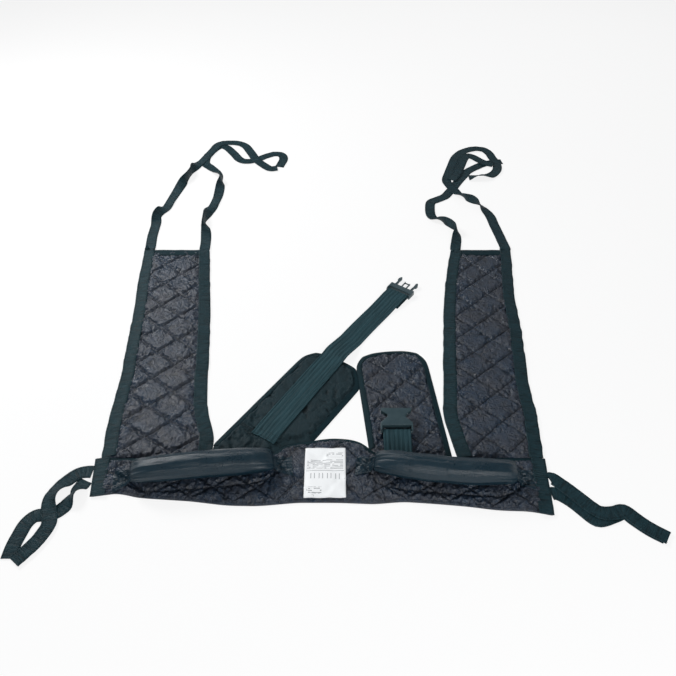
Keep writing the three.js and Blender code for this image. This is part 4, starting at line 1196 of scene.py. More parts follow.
def strap_path(node, heading, step=STRAP_STEP):
    """The stations of a strap along its CAD node: places, sideways directions and upward directions."""
    left, right = chain_of(node, heading)
    middle = (left + right) / 2
    gaps = np.linalg.norm(np.diff(middle, axis=0), axis=1)
    counts = np.maximum(np.round(gaps / step).astype(int), 1)
    middle = smooth_through(middle, counts)
    side = smooth_through(right, counts) - smooth_through(left, counts)
    tangent = np.gradient(middle, axis=0)
    tangent /= np.linalg.norm(tangent, axis=1)[:, None]
    side -= tangent * (side * tangent).sum(axis=1)[:, None]
    side /= np.linalg.norm(side, axis=1)[:, None]
    return middle, side, np.cross(side, tangent)


def rippled(profile, origins, seed, depth, cup=0.0, span=0.016):
    """A profile for every station, with soft cross ripples and a curl that comes and goes."""
    curl_span = 0.07
    place = lengths_along(origins)
    shape = np.repeat(profile[None], len(origins), axis=0)
    share = profile[:, 0] / max(abs(profile[0, 0]), 1e-6)
    curl = drift(seed, place, curl_span)[:, None] * cup * share[None] ** 2
    wave = field(seed + 50, *np.meshgrid(place, profile[:, 0], indexing="ij"), span)
    shape[..., 1] += curl + wave * depth
    return shape


def gathers(seed, origins, share):
    """Soft ridges across a strip, about a finger apart, from 0 to 1. share runs across it from 0 to 1."""
    slant, breadth, pitch = 0.004, 0.012, 0.0095
    patch, steady_share, patch_share = 0.06, 0.6, 0.4
    place = lengths_along(origins)
    lean = place[:, None] + slant * (share[None] - 0.5)
    ridges = np.abs(field(seed, lean, np.broadcast_to(share * breadth, lean.shape), pitch))
    return ridges * (steady_share + patch_share * drift(seed + 3, place, patch))[:, None]


def tape_profile(width):
    """A tape from the inner side of a margin, out to the rim and down over it."""
    slope = ((1.0, 0.0), (0.8, 0.0003), (0.6, 0.0007), (0.4, 0.0013), (0.2, 0.0019))
    upper = [(width * share, TAPE_INNER - fall) for share, fall in slope]
    rim = [(width * 0.06, TAPE_RIM + 0.0002), (-0.0004, TAPE_RIM - 0.0002),
           (-0.0009, TAPE_RIM - 0.0010), (-0.0010, TAPE_RIM - 0.0019)]
    return np.array(upper + rim)[::-1]


# Camera, floor and light

class SLING_OT_stage(bpy.types.Operator):
    """Sets up the floor, the lamps and the camera."""

    bl_idname = "sling.stage"
    bl_label = "Stage"

    def execute(self, context):
        scene = context.scene
        scene.view_settings.view_transform = "Standard"
        kept = set(frame["nodes"].values()) | set(frame["bodies"].values())
        for thing in [o for o in bpy.data.objects if o not in kept]:
            bpy.data.objects.remove(thing)
        camera = bpy.data.objects.new("camera", bpy.data.cameras.new("camera"))
        camera.location = CAMERA_PLACE
        camera.rotation_euler = (CAMERA_TILT, 0, 0)
        camera.data.lens = CAMERA_LENS
        scene.collection.objects.link(camera)
        scene.camera = camera
        self.floor(scene)
        for name, (place, size, power) in LAMPS.items():
            self.lamp(scene, name, place, size, power)
        self.world(scene)
        return {"FINISHED"}

    def floor(self, scene):
        """A pale floor that the camera sees nearly white."""
        corners = ((-1, -1), (1, -1), (1, 1), (-1, 1))
        mesh = bpy.data.meshes.new("floor")
        mesh.from_pydata([(x * FLOOR_REACH, y * FLOOR_REACH, FLOOR_LEVEL) for x, y in corners], [],
                         [(0, 1, 2, 3)])
        floor = bpy.data.objects.new("floor", mesh)
        scene.collection.objects.link(floor)
        material, tree, shader = new_material("pale_floor")
        shader.inputs["Base Color"].default_value = (0.9, 0.9, 0.9, 1)
        shader.inputs["Roughness"].default_value = 0.9
        white = add_node(tree, "ShaderNodeEmission", {"Color": (1, 1, 1, 1), "Strength": 1.0})
        path = add_node(tree, "ShaderNodeLightPath").outputs
        mirrored = maths(tree, "MAXIMUM", path["Is Glossy Ray"], path["Is Transmission Ray"])
        seen = maths(tree, "MAXIMUM", path["Is Camera Ray"], mirrored)
        self.mix(tree, product(tree, seen, FLOOR_WHITE_SHARE), shader, white, tree.nodes["Material Output"])
        mesh.materials.append(material)

    def lamp(self, scene, name, place, size, power):
        """A square lamp aimed at the middle of the belt."""
        lamp = bpy.data.lights.new(name, "AREA")
        lamp.energy = power
        lamp.size = size
        holder = bpy.data.objects.new(name, lamp)
        holder.location = place
        aim = Vector(LAMP_AIM) - Vector(place)
        holder.rotation_euler = aim.to_track_quat("-Z", "Y").to_euler()
        scene.collection.objects.link(holder)

    def world(self, scene):
        """A soft sky that the camera sees white."""
        world = bpy.data.worlds.new("studio")
        scene.world = world
        world.use_nodes = True
        tree = world.node_tree
        sky = tree.nodes["Background"]
        sky.inputs["Color"].default_value = SKY_COLOUR
        sky.inputs["Strength"].default_value = SKY_STRENGTH
        white = add_node(tree, "ShaderNodeBackground", {"Color": (1, 1, 1, 1), "Strength": 1.0})
        path = add_node(tree, "ShaderNodeLightPath").outputs
        seen = maths(tree, "MAXIMUM", path["Is Camera Ray"], path["Is Transmission Ray"])
        self.mix(tree, seen, sky, white, tree.nodes["World Output"])

    def mix(self, tree, share, one, two, output):
        """Joins two shaders and leads them to an output."""
        both = add_node(tree, "ShaderNodeMixShader", {0: share, 1: one.outputs[0], 2: two.outputs[0]})
        tree.links.new(both.outputs[0], output.inputs["Surface"])


# Belt

class SLING_OT_belt(bpy.types.Operator):
    """Makes the quilted belt with its lining, binding, end bands and label."""

    bl_idname = "sling.belt"
    bl_label = "Belt"

    def execute(self, context):
        outline = rounded(outline_of("belt_lining"))

        def point(i, j):
            share = i / QUILT_COLUMNS
            ends = [lerp(front, back, share) for front, back in zip(BELT_FRONT_ENDS, BELT_BACK_ENDS)]
            x = lerp(*ends, j / BELT_ROWS)
            front, back = crossing(outline, 0, x)
            return x, lerp(front + BELT_HEM, back - BELT_BINDING, share)

        lines = quilt_lines(point, QUILT_COLUMNS, BELT_ROWS)
        lines += [self.grip_seam(facts) for facts in GRIPS.values()]
        sheet = Sheet(outline, lines, context.scene.sling_sizes.sheet_step)
        x = sheet.points[:, 0]
        ends = np.minimum(x - outline[:, 0].min(), outline[:, 0].max() - x) / EDGE_WEBBING_WIDTH
        margin = np.minimum(sheet.to_rim / BELT_HEM, ends)
        tree = panel("belt", "quilted", sheet, margin, 1, "belt", BELT_QUILT_INSET, fill=0.55,
                     pleats=lambda a, b: self.pleats(outline, a, b))
        seams = [self.binding(outline), *self.bands(outline)]
        hem = [(a, crossing(outline, 0, a)[0] + HEM_ROW_INSET) for a in np.arange(*HEM_ROW_ENDS, STITCH_STEP)]
        seams.append(laid_on(tree, hem))
        # Short rows of stitching above the label
        seams += [laid_on(tree, [(a, b) for b in np.arange(*CENTRE_ROW_ENDS, STITCH_STEP)])
                  for a in CENTRE_ROWS]
        stitches("belt_seams", seams, "belt")
        self.label(tree)
        return {"FINISHED"}

    def grip_seam(self, facts):
        """The seam before a grip, a little longer than the grip and curving in at its ends."""
        gap, curve = 0.005, 0.020
        place = np.linspace(-1, 1, 60)
        local = np.column_stack([place * (GRIP_SPAN / 2 + GRIP_END_GAP),
                                 facts["bow"] - GRIP_WIDTH / 2 - gap + curve * place ** 6])
        return turned(local, facts)

    def pleats(self, outline, x, y):
        """Folds drawn in towards each end of a grip, and gathers along the front edge before the grips."""
        fold_depth, fold_reach, fold_start, fold_count = 0.0019, 0.032, 0.010, 11
        patch, fold_wander = 0.03, 1.5
        rise = 0 * x
        for facts in GRIPS.values():
            for way in (-1, 1):
                end = turned(np.array([[way * (GRIP_SPAN / 2 + GRIP_END_GAP), 0.0]]), facts)[0]
                away = np.hypot(x - end[0], y - end[1])
                around = np.arctan2(y - end[1], x - end[0])
                wave = np.sin(fold_count * around + fold_wander * field(facts["seed"] + way + 3, x, y, patch))
                rise = rise + fold_depth * wave * np.exp(-away / fold_reach) * clamp(away / fold_start)
        gather_depth, gather_reach, gather_start, pitch = 0.0015, 0.050, 0.004, 0.0125
        gather_patch, gather_wander, gather_lean = 0.05, 2.2, 0.25
        steady_share, patch_share = 0.55, 0.45
        grip_place, grip_reach = 0.215, 0.15
        along = np.arange(-0.4, 0.4, 0.002)
        left_end, right_end = -0.38, 0.36
        front = np.array([crossing(outline, 0, min(max(a, left_end), right_end))[0] for a in along])
        inside = y - np.interp(x, along, front)
        before = clamp(1 - inside / gather_reach) * clamp(inside / gather_start)
        reach = clamp(1 - np.abs(np.abs(x) - grip_place) / grip_reach) ** 0.5
        wander = gather_wander * field(57, x, y, patch)
        wave = np.sin(2 * math.pi * (x + gather_lean * inside) / pitch + wander)
        unevenness = steady_share + patch_share * field(58, x, y, gather_patch)
        return rise + gather_depth * wave * before * reach * unevenness

    def binding(self, outline):
        """Tape along the belt's back edge."""
        edge = [(x, crossing(outline, 0, x)[1], 0) for x in np.linspace(*BELT_TAPE_ENDS, 260)]
        edge = spaced(edge, TAPE_STEP)
        shape = rippled(tape_profile(BELT_BINDING), edge, 21, 0.0004)
        line = strip("belt_edge_tape", path_along(edge), shape, TAPE, "binding", "belt",
                     ["belt_top_binding"])
        return line(BELT_BINDING - TAPE_SEAM)

    def bands(self, outline):
        """Webbing across both ends of the belt."""
        columns = 11
        half = EDGE_WEBBING_WIDTH / 2
        front_inset, back_inset, corner_lean = 0.013, 0.0005, 0.15
        sink, ripple, gather_depth = 0.0002, 0.0008, 0.0018
        seams = []
        for name, way in (("left", -1), ("right", 1)):
            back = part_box(f"{name}_end_band")[1].y - back_inset
            outer = (outline[:, 0] * way).max() * way
            front = crossing(outline, 0, outer - way * front_inset)[0]
            corner = outline[np.argmax(outline @ np.array([way, -corner_lean]))]
            path = np.array([(lerp(corner[0], outer, share) - way * half, lerp(front, back, share), 0)
                             for share in np.linspace(0, 1, 40)])
            profile = np.column_stack([np.linspace(-1, 1, columns) * EDGE_WEBBING_WIDTH / 2,
                                       np.linspace(TAPE_INNER, TAPE_RIM, columns) + WEBBING / 2 - sink])
            shape = rippled(profile, path, 31 + way, ripple)
            shape[..., 1] += gathers(33 + way, path, np.linspace(0, 1, columns)) * gather_depth
            line = strip(f"{name}_belt_end", path_along(path, way), shape, WEBBING, "webbing", "belt",
                         [f"{name}_end_band"])
            seams += [line(-half + END_SEAM), line(half - END_SEAM)]
        return seams

    def label(self, tree):
        """The care label, laid over the quilting."""
        low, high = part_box("care_label")
        columns, rows = 25, 35
        u, v = np.meshgrid(np.linspace(0, 1, columns), np.linspace(0, 1, rows))
        x, y = lerp(low.x, high.x, u), lerp(low.y, high.y, v)
        z = np.array([[height_on(tree, a, b) for a, b in zip(p, q)] for p, q in zip(x, y)])
        for _ in range(6):
            spread = np.pad(z, 1, mode="edge")
            around = (spread[:-2, 1:-1] + spread[2:, 1:-1] + spread[1:-1, :-2] + spread[1:-1, 2:]) / 4
            z = np.maximum(z, around)
        z = z + THREAD_LIFT
        top = np.stack([x, y, z + LABEL_SHEET], axis=2).reshape(-1, 3)
        under = np.stack([x, y, z], axis=2).reshape(-1, 3)
        count = columns * rows
        faces = []
        for j in range(rows - 1):
            for i in range(columns - 1):
                a = j * columns + i
                face = [a, a + 1, a + columns + 1, a + columns]
                faces += [face, [k + count for k in face[::-1]]]
        rim = [i for i in range(columns)]
        rim += [columns - 1 + j * columns for j in range(1, rows)]
        rim += [count - 1 - i for i in range(1, columns)]
        rim += [(rows - 1 - j) * columns for j in range(1, rows - 1)]
        faces += [[a, a + count, b + count, b] for a, b in zip(rim, rim[1:] + rim[:1])]
        width, length = high.x - low.x, high.y - low.y
        flat = np.column_stack([u.ravel() * width, v.ravel() * length])
        flat = np.vstack([flat, flat])
        c = bpy.context.scene.sling_colours
        material = label_material("care_label_cloth", c.label, c.print_grey, width, length)
        points = np.vstack([top, under])
        if volume_of(points, faces) < 0:
            faces = [f[::-1] for f in faces]
        piece = new_piece("care_label_sheet", points, faces, [flat[k] for f in faces for k in f], material)
        rides_on(piece, "belt", ["care_label"])


# Leg panels

class SLING_OT_legs(bpy.types.Operator):
    """Makes both quilted leg panels with their edge webbing and top binding."""

    bl_idname = "sling.legs"
    bl_label = "Leg panels"

    def execute(self, context):
        for side, seed in (("left", 3), ("right", 4)):
            self.leg(side, seed, context.scene.sling_sizes)
        return {"FINISHED"}

    def leg(self, side, seed, sizes):
        """A leg panel with its webbing, its top binding and their seams."""
        outline = rounded(outline_of(f"{side}_leg_lining"))
        near, far = outline[:, 1].min(), outline[:, 1].max()
        inset, near_margin = EDGE_WEBBING_WIDTH, 0.2

        def point(i, j):
            y = lerp(near + LEG_NEAR, far - LEG_HEM, j / LEG_ROWS)
            left, right = crossing(outline, 1, y)
            return lerp(left + inset, right - inset, i / QUILT_COLUMNS), y

        sheet = Sheet(outline, quilt_lines(point, QUILT_COLUMNS, LEG_ROWS), sizes.sheet_step)
        x, y = sheet.points.T
        spans = np.array([crossing(outline, 1, min(max(b, near + HAIR), far - HAIR)) for b in y])
        sideways = np.minimum(x - spans[:, 0], spans[:, 1] - x) / (inset * LEG_WEBBING_SHARE)
        margin = np.minimum(np.minimum(sideways, (far - y) / LEG_HEM),
                            near_margin + (y - near) / LEG_TUCK)
        rides = LEG_BEND[side]
        panel(f"{side}_leg", "quilted", sheet, margin, seed, rides, inset)
        seams = self.webbing(side, outline, near, far, seed, rides, sizes.edge_ripple)
        seams.append(self.top_binding(side, far, seed, rides))
        stitches(f"{side}_leg_seams", seams, rides)

    def webbing(self, side, outline, near, far, seed, rides, ripple):
        """Gathered webbing along both long edges."""
        columns = np.linspace(0, 1, 13)
        profile = np.column_stack([columns * EDGE_WEBBING_WIDTH, 0 * columns])
        waver_span, waver_start, sink = 0.018, 0.01, 0.0003
        seams = []
        for k, (part, way) in enumerate((("left", -1), ("right", 1))):
            levels = np.linspace(near + 2 * CORNER, far - 2 * CORNER, 320)
            edge = np.array([(crossing(outline, 1, y)[k], y, 0) for y in levels])
            edge = run_on(edge, 2 * CORNER, 2 * CORNER + LEG_STRAP_LAP)
            place = edge[:, 1] - near + waver_start
            edge[:, 0] += way * LEG_WAVER * drift(seed + 5 + k, place, waver_span)
            edge = spaced(edge, TAPE_STEP)
            shape = rippled(profile, edge, seed * 7 + k, 0.0)
            full = clamp((far - edge[:, 1]) / LEG_HEM)[:, None]
            shape[..., 1] += lerp(TAPE_RIM, TAPE_INNER, columns[None] * full) + WEBBING / 2 - sink
            shape[..., 1] += gathers(seed * 9 + k, edge, columns) * ripple
            if part == "right":
                shape = shape[:, ::-1]
            name = f"{side}_leg_{'outer' if side == part else 'inner'}"
            path = path_along(edge, -way)
            strip(f"{name}_edge", path, shape, WEBBING, "webbing", rides, [f"{name}_webbing"])
            tree = surface_of(f"{name}_edge")
            for offset in (LEG_SEAM, EDGE_WEBBING_WIDTH - LEG_SEAM):
                seams.append(laid_on(tree, (edge + path[1] * offset)[:, :2], WEBBING_THREAD_LIFT))
        return seams

    def top_binding(self, side, far, seed, rides):
        """Tape over the far hem."""
        end_gap, rim_gap = 0.001, 0.0004
        low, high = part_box(f"{side}_leg_top_binding")
        across = np.linspace(low.x + end_gap, high.x - end_gap, 50)
        edge = np.array([(x, far - rim_gap, 0) for x in across])
        shape = rippled(tape_profile(LEG_HEM), edge, seed + 60, 0.0003)
        line = strip(f"{side}_leg_end_tape", path_along(edge), shape, TAPE, "binding", rides,
                     [f"{side}_leg_top_binding"])
        return line(LEG_HEM - HEM_SEAM)


# Waist pads

def pad_axes(heading):
    """The directions forward along a pad and aside to its right."""
    forward = np.array([math.cos(heading), math.sin(heading)])
    return forward, np.array([forward[1], -forward[0]])


def on_pad(tip, heading, back, across):
    """Places given back from a pad's tip and across the pad, as places on the floor."""
    forward, aside = pad_axes(heading)
    return np.asarray(tip) - np.multiply.outer(back, forward) + np.multiply.outer(across, aside)


def own_edge(outline, tip, heading):
    """The stretch of a pad's outline that is its own edge, without the part that is tucked under its
    neighbours."""
    slack, tip_reach, run_length = 0.0015, 0.006, 8
    forward, aside = pad_axes(heading)
    back = -(outline - tip) @ forward
    across = (outline - tip) @ aside
    own = (np.abs(np.abs(across) - PAD_WIDTH / 2) < slack) | (back < PAD_CORNER + tip_reach)
    start = next(k for k in range(len(own))
                 if own[k] and not own[k - 1] and own[(k + run_length) % len(own)])
    return np.roll(outline, -start, axis=0)[:np.argmin(np.roll(own, -start))]


class SLING_OT_pads(bpy.types.Operator):
    """Makes the smooth left pad and the quilted right pad."""

    bl_idname = "sling.pads"
    bl_label = "Waist pads"

    def execute(self, context):
        step = context.scene.sling_sizes.sheet_step
        inner = PAD_WIDTH / 2 - PAD_BINDING

        def point(i, j):
            back = lerp(PAD_LENGTH - PAD_BINDING, PAD_BINDING, j / PAD_ROWS)
            return on_pad(RIGHT_PAD_TIP, RIGHT_PAD_HEADING, back, lerp(-inner, inner, i / QUILT_COLUMNS))

        rows = [on_pad(LEFT_PAD_TIP, LEFT_PAD_HEADING, np.full(30, back), np.linspace(-inner, inner, 30))
                for back in SMOOTH_ROWS]
        self.pad("left", LEFT_PAD_TIP, LEFT_PAD_HEADING, "smooth", rows, 5, step,
                 crown=0.0034, pressure_share=0.10, excess_share=0.5)
        self.pad("right", RIGHT_PAD_TIP, RIGHT_PAD_HEADING, "quilted",
                 quilt_lines(point, QUILT_COLUMNS, PAD_ROWS), 6, step)
        return {"FINISHED"}

    def pad(self, side, tip, heading, look, lines, seed, step, **fullness):
        """A pad with the tape round its own edge."""
        outline = rounded(outline_of(f"{side}_pad_lining"))
        sheet = Sheet(outline, lines, step)
        rides = PAD_BEND[side]
        panel(f"{side}_pad", look, sheet, sheet.to_rim / PAD_BINDING, seed, rides, PAD_BINDING, **fullness)
        rim = spaced(own_edge(spaced(outline, 0.002, closed=True), np.asarray(tip), heading), TAPE_STEP)
        edge = np.column_stack([rim, np.zeros(len(rim))])
        shape = rippled(tape_profile(PAD_BINDING), edge, seed + 70, 0.0002)
        line = strip(f"{side}_pad_tape", path_along(edge, -1), shape, TAPE, "binding", rides,
                     [f"{side}_pad_binding"])
        stitches(f"{side}_pad_seams", [line(PAD_BINDING - TAPE_SEAM)], rides)


# Waist strap and buckle

def ribbed_profile(width, ribs, depth, columns=37):
    """The section of webbing with raised ribs along it."""
    place = np.linspace(-1, 1, columns)
    lift = depth * (np.abs(np.cos(place * math.pi * ribs / 2)) - 0.5)
    return np.column_stack([place * width / 2, lift])


class SLING_OT_waist_strap(bpy.types.Operator):
    """Makes the ribbed waist strap: sewn on the left pad, and free up to the buckle."""

    bl_idname = "sling.waist_strap"
    bl_label = "Waist strap"

    def execute(self, context):
        profile = ribbed_profile(WAIST_WEBBING_WIDTH, WAIST_RIBS, RIB_DEPTH)
        meeting = self.sewn(profile)
        self.loose(profile, meeting, context.scene.sling_sizes.strap_cup)
        path = strap_path("female_buckle_tab", (0, 1), step=0.002)
        shape = rippled(profile, path[0], 42, 0.0, 0.0003, span=0.05)
        strip("buckle_tab_webbing", path, shape, WEBBING, "waist", PAD_BEND["right"],
              ["female_buckle_tab"])
        return {"FINISHED"}

    def sewn(self, profile):
        """The stretch that follows the pad, with its seams. Returns its last station."""
        rest_gap, join_reach, cross_rows = 0.0004, 0.04, (1, 4)
        probes = profile[::6, 0]
        middle, side, up = strap_path("waist_strap_sewn", (0, 1))
        tree = surface_of("left_pad_padding")
        shape = np.repeat(profile[None], len(middle), axis=0)
        for k, (origin, across) in enumerate(zip(middle, side)):
            lift = [height_on(tree, *(origin + across * a)[:2], PAST_PADDING_TOP) for a in probes]
            shape[k, :, 1] += np.interp(profile[:, 0], probes, lift)
        for _ in range(4):
            shape[1:-1, :, 1] = np.maximum(shape[1:-1, :, 1], (shape[:-2, :, 1] + shape[2:, :, 1]) / 2)
        place = lengths_along(middle)
        joined = clamp(1 - (place[-1] - place) / join_reach)[:, None]
        level = shape[..., 1] - middle[:, None, 2] + WEBBING / 2 + rest_gap
        shape[..., 1] = lerp(level, profile[None, :, 1], joined)
        line = strip("waist_strap_on_pad", (middle, side, up), shape, WEBBING, "waist", PAD_BEND["left"],
                     ["waist_strap_sewn"])
        edges = [line(a) for a in (-WAIST_SEAM_REACH, WAIST_SEAM_REACH)]
        places = np.linspace(-WAIST_SEAM_REACH, WAIST_SEAM_REACH, 14)
        cross = [np.array([line(a)[k] for a in places]) for k in cross_rows]
        stitches("waist_strap_seams", edges + cross, PAD_BEND["left"])
        return middle[-1], side[-1], up[-1]

    def loose(self, profile, meeting, cup):
        """The free stretch, which starts where the sewn one ends."""
        join_reach, cup_share = 0.03, 0.4
        middle, side, up = strap_path("waist_strap_free", WAIST_STRAP_HEADING, step=0.003)
        middle[0], side[0], up[0] = meeting
        shape = rippled(profile, middle, 41, 0.0, cup * cup_share, span=0.05)
        joined = clamp(lengths_along(middle) / join_reach)[:, None]
        shape[..., 1] = lerp(profile[None, :, 1], shape[..., 1], joined)
        strip("waist_strap_loose", (middle, side, up), shape, WEBBING, "waist", WAIST_STRAP_BEND,
              ["waist_strap_free"])


class SLING_OT_buckle(bpy.types.Operator):
    """Makes the moulded buckle halves and the two springing prongs."""

    bl_idname = "sling.buckle"
    bl_label = "Buckle"

    def execute(self, context):
        for node, name, body in (
            ("male_buckle_body", "male_buckle_frame", "male_buckle"),
            ("left_prong", "left_prong_moulding", "left_prong_arm"),
            ("right_prong", "right_prong_moulding", "right_prong_arm"),
            ("female_buckle_housing", "female_buckle_socket", "female_buckle"),
        ):
            rides_on(self.moulding(node, name), body, [node])
        return {"FINISHED"}

    def moulding(self, node, name):
        """A CAD solid with its edges rounded."""
        points, faces = welded(node)
        mesh = bpy.data.meshes.new(name)
        mesh.from_pydata([tuple(p) for p in points], [], [tuple(int(k) for k in f) for f in faces])
        shape = bmesh.new()
        shape.from_mesh(mesh)
        bmesh.ops.remove_doubles(shape, verts=shape.verts, dist=HAIR)
        bmesh.ops.dissolve_limit(shape, angle_limit=FLAT_ANGLE, verts=shape.verts, edges=shape.edges)
        shape.to_mesh(mesh)
        shape.free()
        mesh.uv_layers.new(name="cloth")
        mesh.materials.append(finish_of("plastic"))
        piece = bpy.data.objects.new(name, mesh)
        bpy.context.scene.collection.objects.link(piece)
        bevel = piece.modifiers.new("soft edges", "BEVEL")
        bevel.width = MOULDED_EDGE
        bevel.segments = 3
        bevel.limit_method = "ANGLE"
        bevel.angle_limit = EDGE_ANGLE
        depsgraph = bpy.context.evaluated_depsgraph_get()
        made = bpy.data.meshes.new_from_object(piece.evaluated_get(depsgraph))
        piece.modifiers.clear()
        piece.data = made
        made.polygons.foreach_set("use_smooth", [True] * len(made.polygons))
        made.set_sharp_from_angle(angle=SHARP_ANGLE)
        return piece


# Grips

def grip_size(place):
    """Half width and half height of a grip at places from -0.5 to 0.5 along it."""
    share = np.sqrt(np.maximum(1 - np.abs(2 * np.asarray(place)) ** 5, 0))
    return lerp(GRIP_END_WIDTH, GRIP_WIDTH, share) / 2, lerp(GRIP_END_HEIGHT, GRIP_WIDTH, share) / 2


class SLING_OT_grips(bpy.types.Operator):
    """Makes the two padded grips and their sewn-down ends."""

    bl_idname = "sling.grips"
    bl_label = "Grips"

    def execute(self, context):
        for side, facts in GRIPS.items():
            self.grip(side, facts)
            self.tabs(side, facts)
        return {"FINISHED"}

    def placed(self, facts, points):
        """Points given about a grip's middle, as points on the belt."""
        turn = Matrix.Rotation(facts["turn"], 3, "Z")
        base = np.array([*facts["centre"], LAID_TOP])
        return points @ np.array(turn).T + base

    def end_pleats(self, seed, angle, count):
        """Random pleats round a grip's end, which fade out at the seam under it."""
        fade = 0.3
        pleat = drift(seed, angle / (2 * math.pi) * count, 1.0)
        return pleat * np.minimum(angle / fade, 1) * np.minimum((2 * math.pi - angle) / fade, 1)

    def grip(self, side, facts):
        """The sleeve round the core, with pleated ends, fine streaks and slack."""
        rows, columns, near_count, far_count = 150, 120, 40, 26
        cloth, streak_width, streak_stretch, slack_width = 0.0006, 0.0035, 7, 0.03
        end_start, end_reach, tip_start, tip_calm = 0.34, 0.16, 0.98, 0.75
        pleat_depth, end_pleat_depth, streak_depth, slack_depth = 0.0006, 0.0022, 0.0003, 0.0010
        seed = facts["seed"]
        place = np.linspace(-0.5, 0.5, rows)
        wide, high = grip_size(place)
        angle = np.linspace(0, 2 * math.pi, columns, endpoint=False)
        lift = GRIP_LIFT_SHARE * (GRIP_WIDTH / 2 - high)
        run = place * GRIP_SPAN
        nearness = clamp((np.abs(place) - end_start) / end_reach)[:, None]
        near_end = self.end_pleats(seed, angle, near_count)
        far_end = self.end_pleats(seed + 3, angle, far_count)
        ends = np.where(place[:, None] < 0, near_end[None], far_end[None])
        depth = ends * (pleat_depth + end_pleat_depth * nearness ** 1.5)
        depth = depth * (1 - tip_calm * (nearness > tip_start))
        along, around = np.meshgrid(run, angle * GRIP_WIDTH / 2, indexing="ij")
        streak = field(seed + 9, along / streak_stretch, around, streak_width) * streak_depth
        slack = field(seed + 17, along, around, slack_width) * slack_depth
        total = depth + streak + slack
        # The last columns lead back into the first one
        total[:, -3:] = total[:, -3:] * np.array([0.6, 0.4, 0.2]) + total[:, :1] * np.array([0.4, 0.6, 0.8])
        y = facts["bow"] * (1 - (2 * place) ** 2) + GRIP_LEAN_SHARE * (GRIP_WIDTH / 2 - wide)
        rings = np.stack([
            np.repeat(run[:, None], columns, axis=1),
            y[:, None] + (wide[:, None] + total - cloth) * np.cos(angle)[None],
            (high + lift)[:, None] + (high[:, None] + total - cloth) * np.sin(angle)[None],
        ], axis=2)
        rings[..., 2] = np.maximum(rings[..., 2], LOWEST)
        rings = self.placed(facts, rings.reshape(-1, 3)).reshape(rings.shape)
        across = np.linspace(0, 2 * math.pi * GRIP_WIDTH / 2, columns + 1)
        piece = loft(f"{side}_grip_sleeve", rings, across, run, finish_of("grip"))
        rides_on(piece, f"{side}_grip", [f"{side}_grip_cover", f"{side}_grip_foam"])

    def tabs(self, side, facts):
        """The grip's cloth, gathered at both ends and sewn down fanwise on the belt."""
        tuck, past_end, ground_gap = 0.005, 0.003, 0.0006
        root_spread, tip_spread = 0.011, 0.021
        root_crest, tip_crest, crest_count = 0.0024, 0.0008, 3.1
        seam_reach, seam_rows, fall_share = 0.85, (15, 19), 0.45
        waver_depth, waver_span = 0.35, 0.3
        tree = surface_of("belt_padding")
        wide, high = grip_size(np.array([-0.5, 0.5]))
        share = np.linspace(-1, 1, 41)
        reach = np.linspace(0, 1, 22)
        spread = lerp(root_spread, tip_spread, reach ** 0.8)
        fall = eased(clamp(reach / fall_share))[:, None]
        root = LAID_TOP + GRIP_LIFT_SHARE * (GRIP_WIDTH / 2 - high[0]) + high[0]
        for name, way in (("left", -1), ("right", 1)):
            along = way * (GRIP_SPAN / 2 - tuck + reach * (GRIP_TAB + past_end))
            back = GRIP_LEAN_SHARE * (GRIP_WIDTH / 2 - wide[0]) * (1 - reach)
            line = self.placed(facts, np.column_stack([along, back, 0 * along]))
            side_way = np.array([-math.sin(facts["turn"]), math.cos(facts["turn"]), 0]) * -way
            sides = np.tile(side_way, (len(line), 1))
            ups = np.tile([0.0, 0.0, 1.0], (len(line), 1))
            across = share[None] * spread[:, None]
            spots = line[:, None, :2] + sides[:, None, :2] * across[..., None]
            ground = np.array([[height_on(tree, a, b, PAST_PADDING_TOP) for a, b in row] for row in spots])
            waver = waver_depth * drift(facts["seed"] + way, share + 1, waver_span)
            crests = np.abs(np.sin((share[None] * crest_count + waver) * math.pi))
            crests = crests * lerp(root_crest, tip_crest, reach)[:, None]
            height = lerp(root, ground + ground_gap, fall) + crests - line[:, 2:]
            shape = np.stack([across, height], axis=2)
            rides = ("belt", f"{side}_grip", Vector(line[-1]), Vector(line[4]))
            top = strip(f"{side}_grip_{name}_tab", (line, sides, ups), shape, TAPE, "grip", rides,
                        [f"{side}_grip_webbing"] if way < 0 else [])
            places = np.linspace(-seam_reach, seam_reach, 10)
            rows = [np.array([top(a * spread[k])[k] for a in places]) for k in seam_rows]
            stitches(f"{side}_grip_{name}_tab_seams", rows, rides)


# Loops

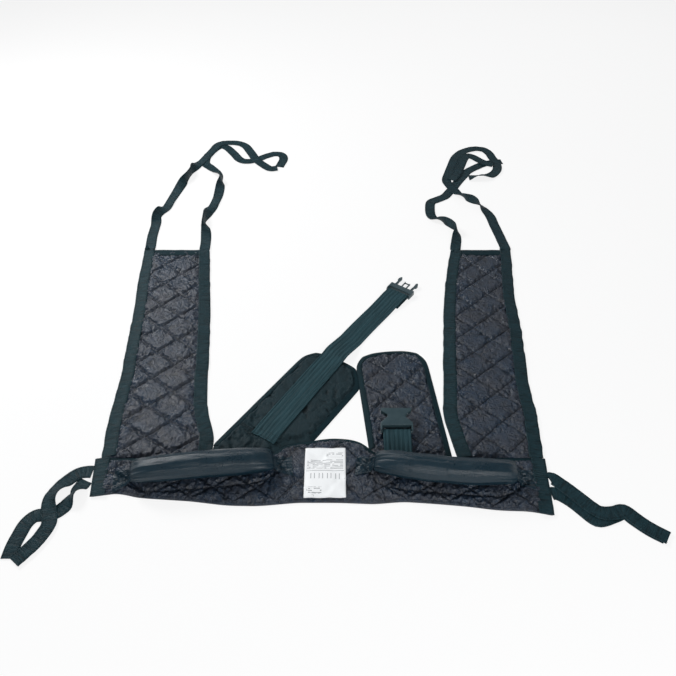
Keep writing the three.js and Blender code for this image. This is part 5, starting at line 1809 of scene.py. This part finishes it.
class SLING_OT_loops(bpy.types.Operator):
    """Makes the hanging loops of the leg panels and of the belt's ends."""

    bl_idname = "sling.loops"
    bl_label = "Loops"

    def execute(self, context):
        for node, heading, rides, seed in (
            ("left_leg_outer_strap", (0, 1), LEG_STRAP_BEND["left"], 71),
            ("left_leg_inner_strap", (0, 1), LEG_STRAP_BEND["left"], 72),
            ("right_leg_inner_strap", (0, 1), LEG_STRAP_BEND["right"], 73),
            ("right_leg_outer_strap", (0, 1), LEG_STRAP_BEND["right"], 74),
            ("right_leg_divider_strap", (1, 1), "right_leg_straps", 75),
            ("left_end_upper_strap", (-1, 0), END_BEND["left"], 76),
            ("left_end_lower_strap", (-1, 0), END_BEND["left"], 77),
            ("right_end_upper_strap", (1, 0), END_BEND["right"], 78),
            ("right_end_lower_strap", (1, 0), END_BEND["right"], 79),
        ):
            self.loop(node, heading, rides, seed, context.scene.sling_sizes)
        return {"FINISHED"}

    def loop(self, node, heading, rides, seed, sizes):
        """A strap of edge webbing along its CAD node, with a seam along both edges."""
        name = node.replace("strap", "loop")
        columns, ripple, gather_share, half = 11, 0.0003, 0.7, EDGE_WEBBING_WIDTH / 2
        path = strap_path(node, heading)
        profile = np.column_stack([np.linspace(-half, half, columns), np.zeros(columns)])
        shape = rippled(profile, path[0], seed, ripple, sizes.strap_cup)
        ridges = gathers(seed + 20, path[0], np.linspace(0, 1, columns))
        shape[..., 1] += ridges * sizes.edge_ripple * gather_share
        line = strip(name, path, shape, WEBBING, "webbing", rides, [node])
        edge = half - LOOP_SEAM
        stitches(f"{name}_seams", [line(-edge), line(edge)], rides)


class SLING_PT_panel(bpy.types.Panel):
    """Lists the pieces of the transfer belt."""

    bl_idname = "SLING_PT_panel"
    bl_label = "Transfer Belt"
    bl_space_type = "VIEW_3D"
    bl_region_type = "UI"
    bl_category = "Transfer Belt"

    def draw(self, context):
        for operator in OPERATORS:
            self.layout.operator(operator.bl_idname)
        for group in (context.scene.sling_sizes, context.scene.sling_colours):
            box = self.layout.box()
            for name in group.bl_rna.properties.keys():
                if name not in ("rna_type", "name"):
                    box.prop(group, name)


OPERATORS = (
    SLING_OT_stage, SLING_OT_belt, SLING_OT_legs, SLING_OT_pads, SLING_OT_waist_strap, SLING_OT_buckle,
    SLING_OT_grips, SLING_OT_loops,
)
CLASSES = (SlingSizes, SlingColours, *OPERATORS, SLING_PT_panel)


def register():
    for kind in CLASSES:
        bpy.utils.register_class(kind)
    bpy.types.Scene.sling_sizes = PointerProperty(type=SlingSizes)
    bpy.types.Scene.sling_colours = PointerProperty(type=SlingColours)


def unregister():
    del bpy.types.Scene.sling_colours
    del bpy.types.Scene.sling_sizes
    for kind in reversed(CLASSES):
        bpy.utils.unregister_class(kind)


def main():
    register()
    for step in (bpy.ops.sling.stage, bpy.ops.sling.belt, bpy.ops.sling.legs, bpy.ops.sling.pads,
                 bpy.ops.sling.waist_strap, bpy.ops.sling.buckle, bpy.ops.sling.grips, bpy.ops.sling.loops):
        step()


if __name__ == "__main__":
    main()
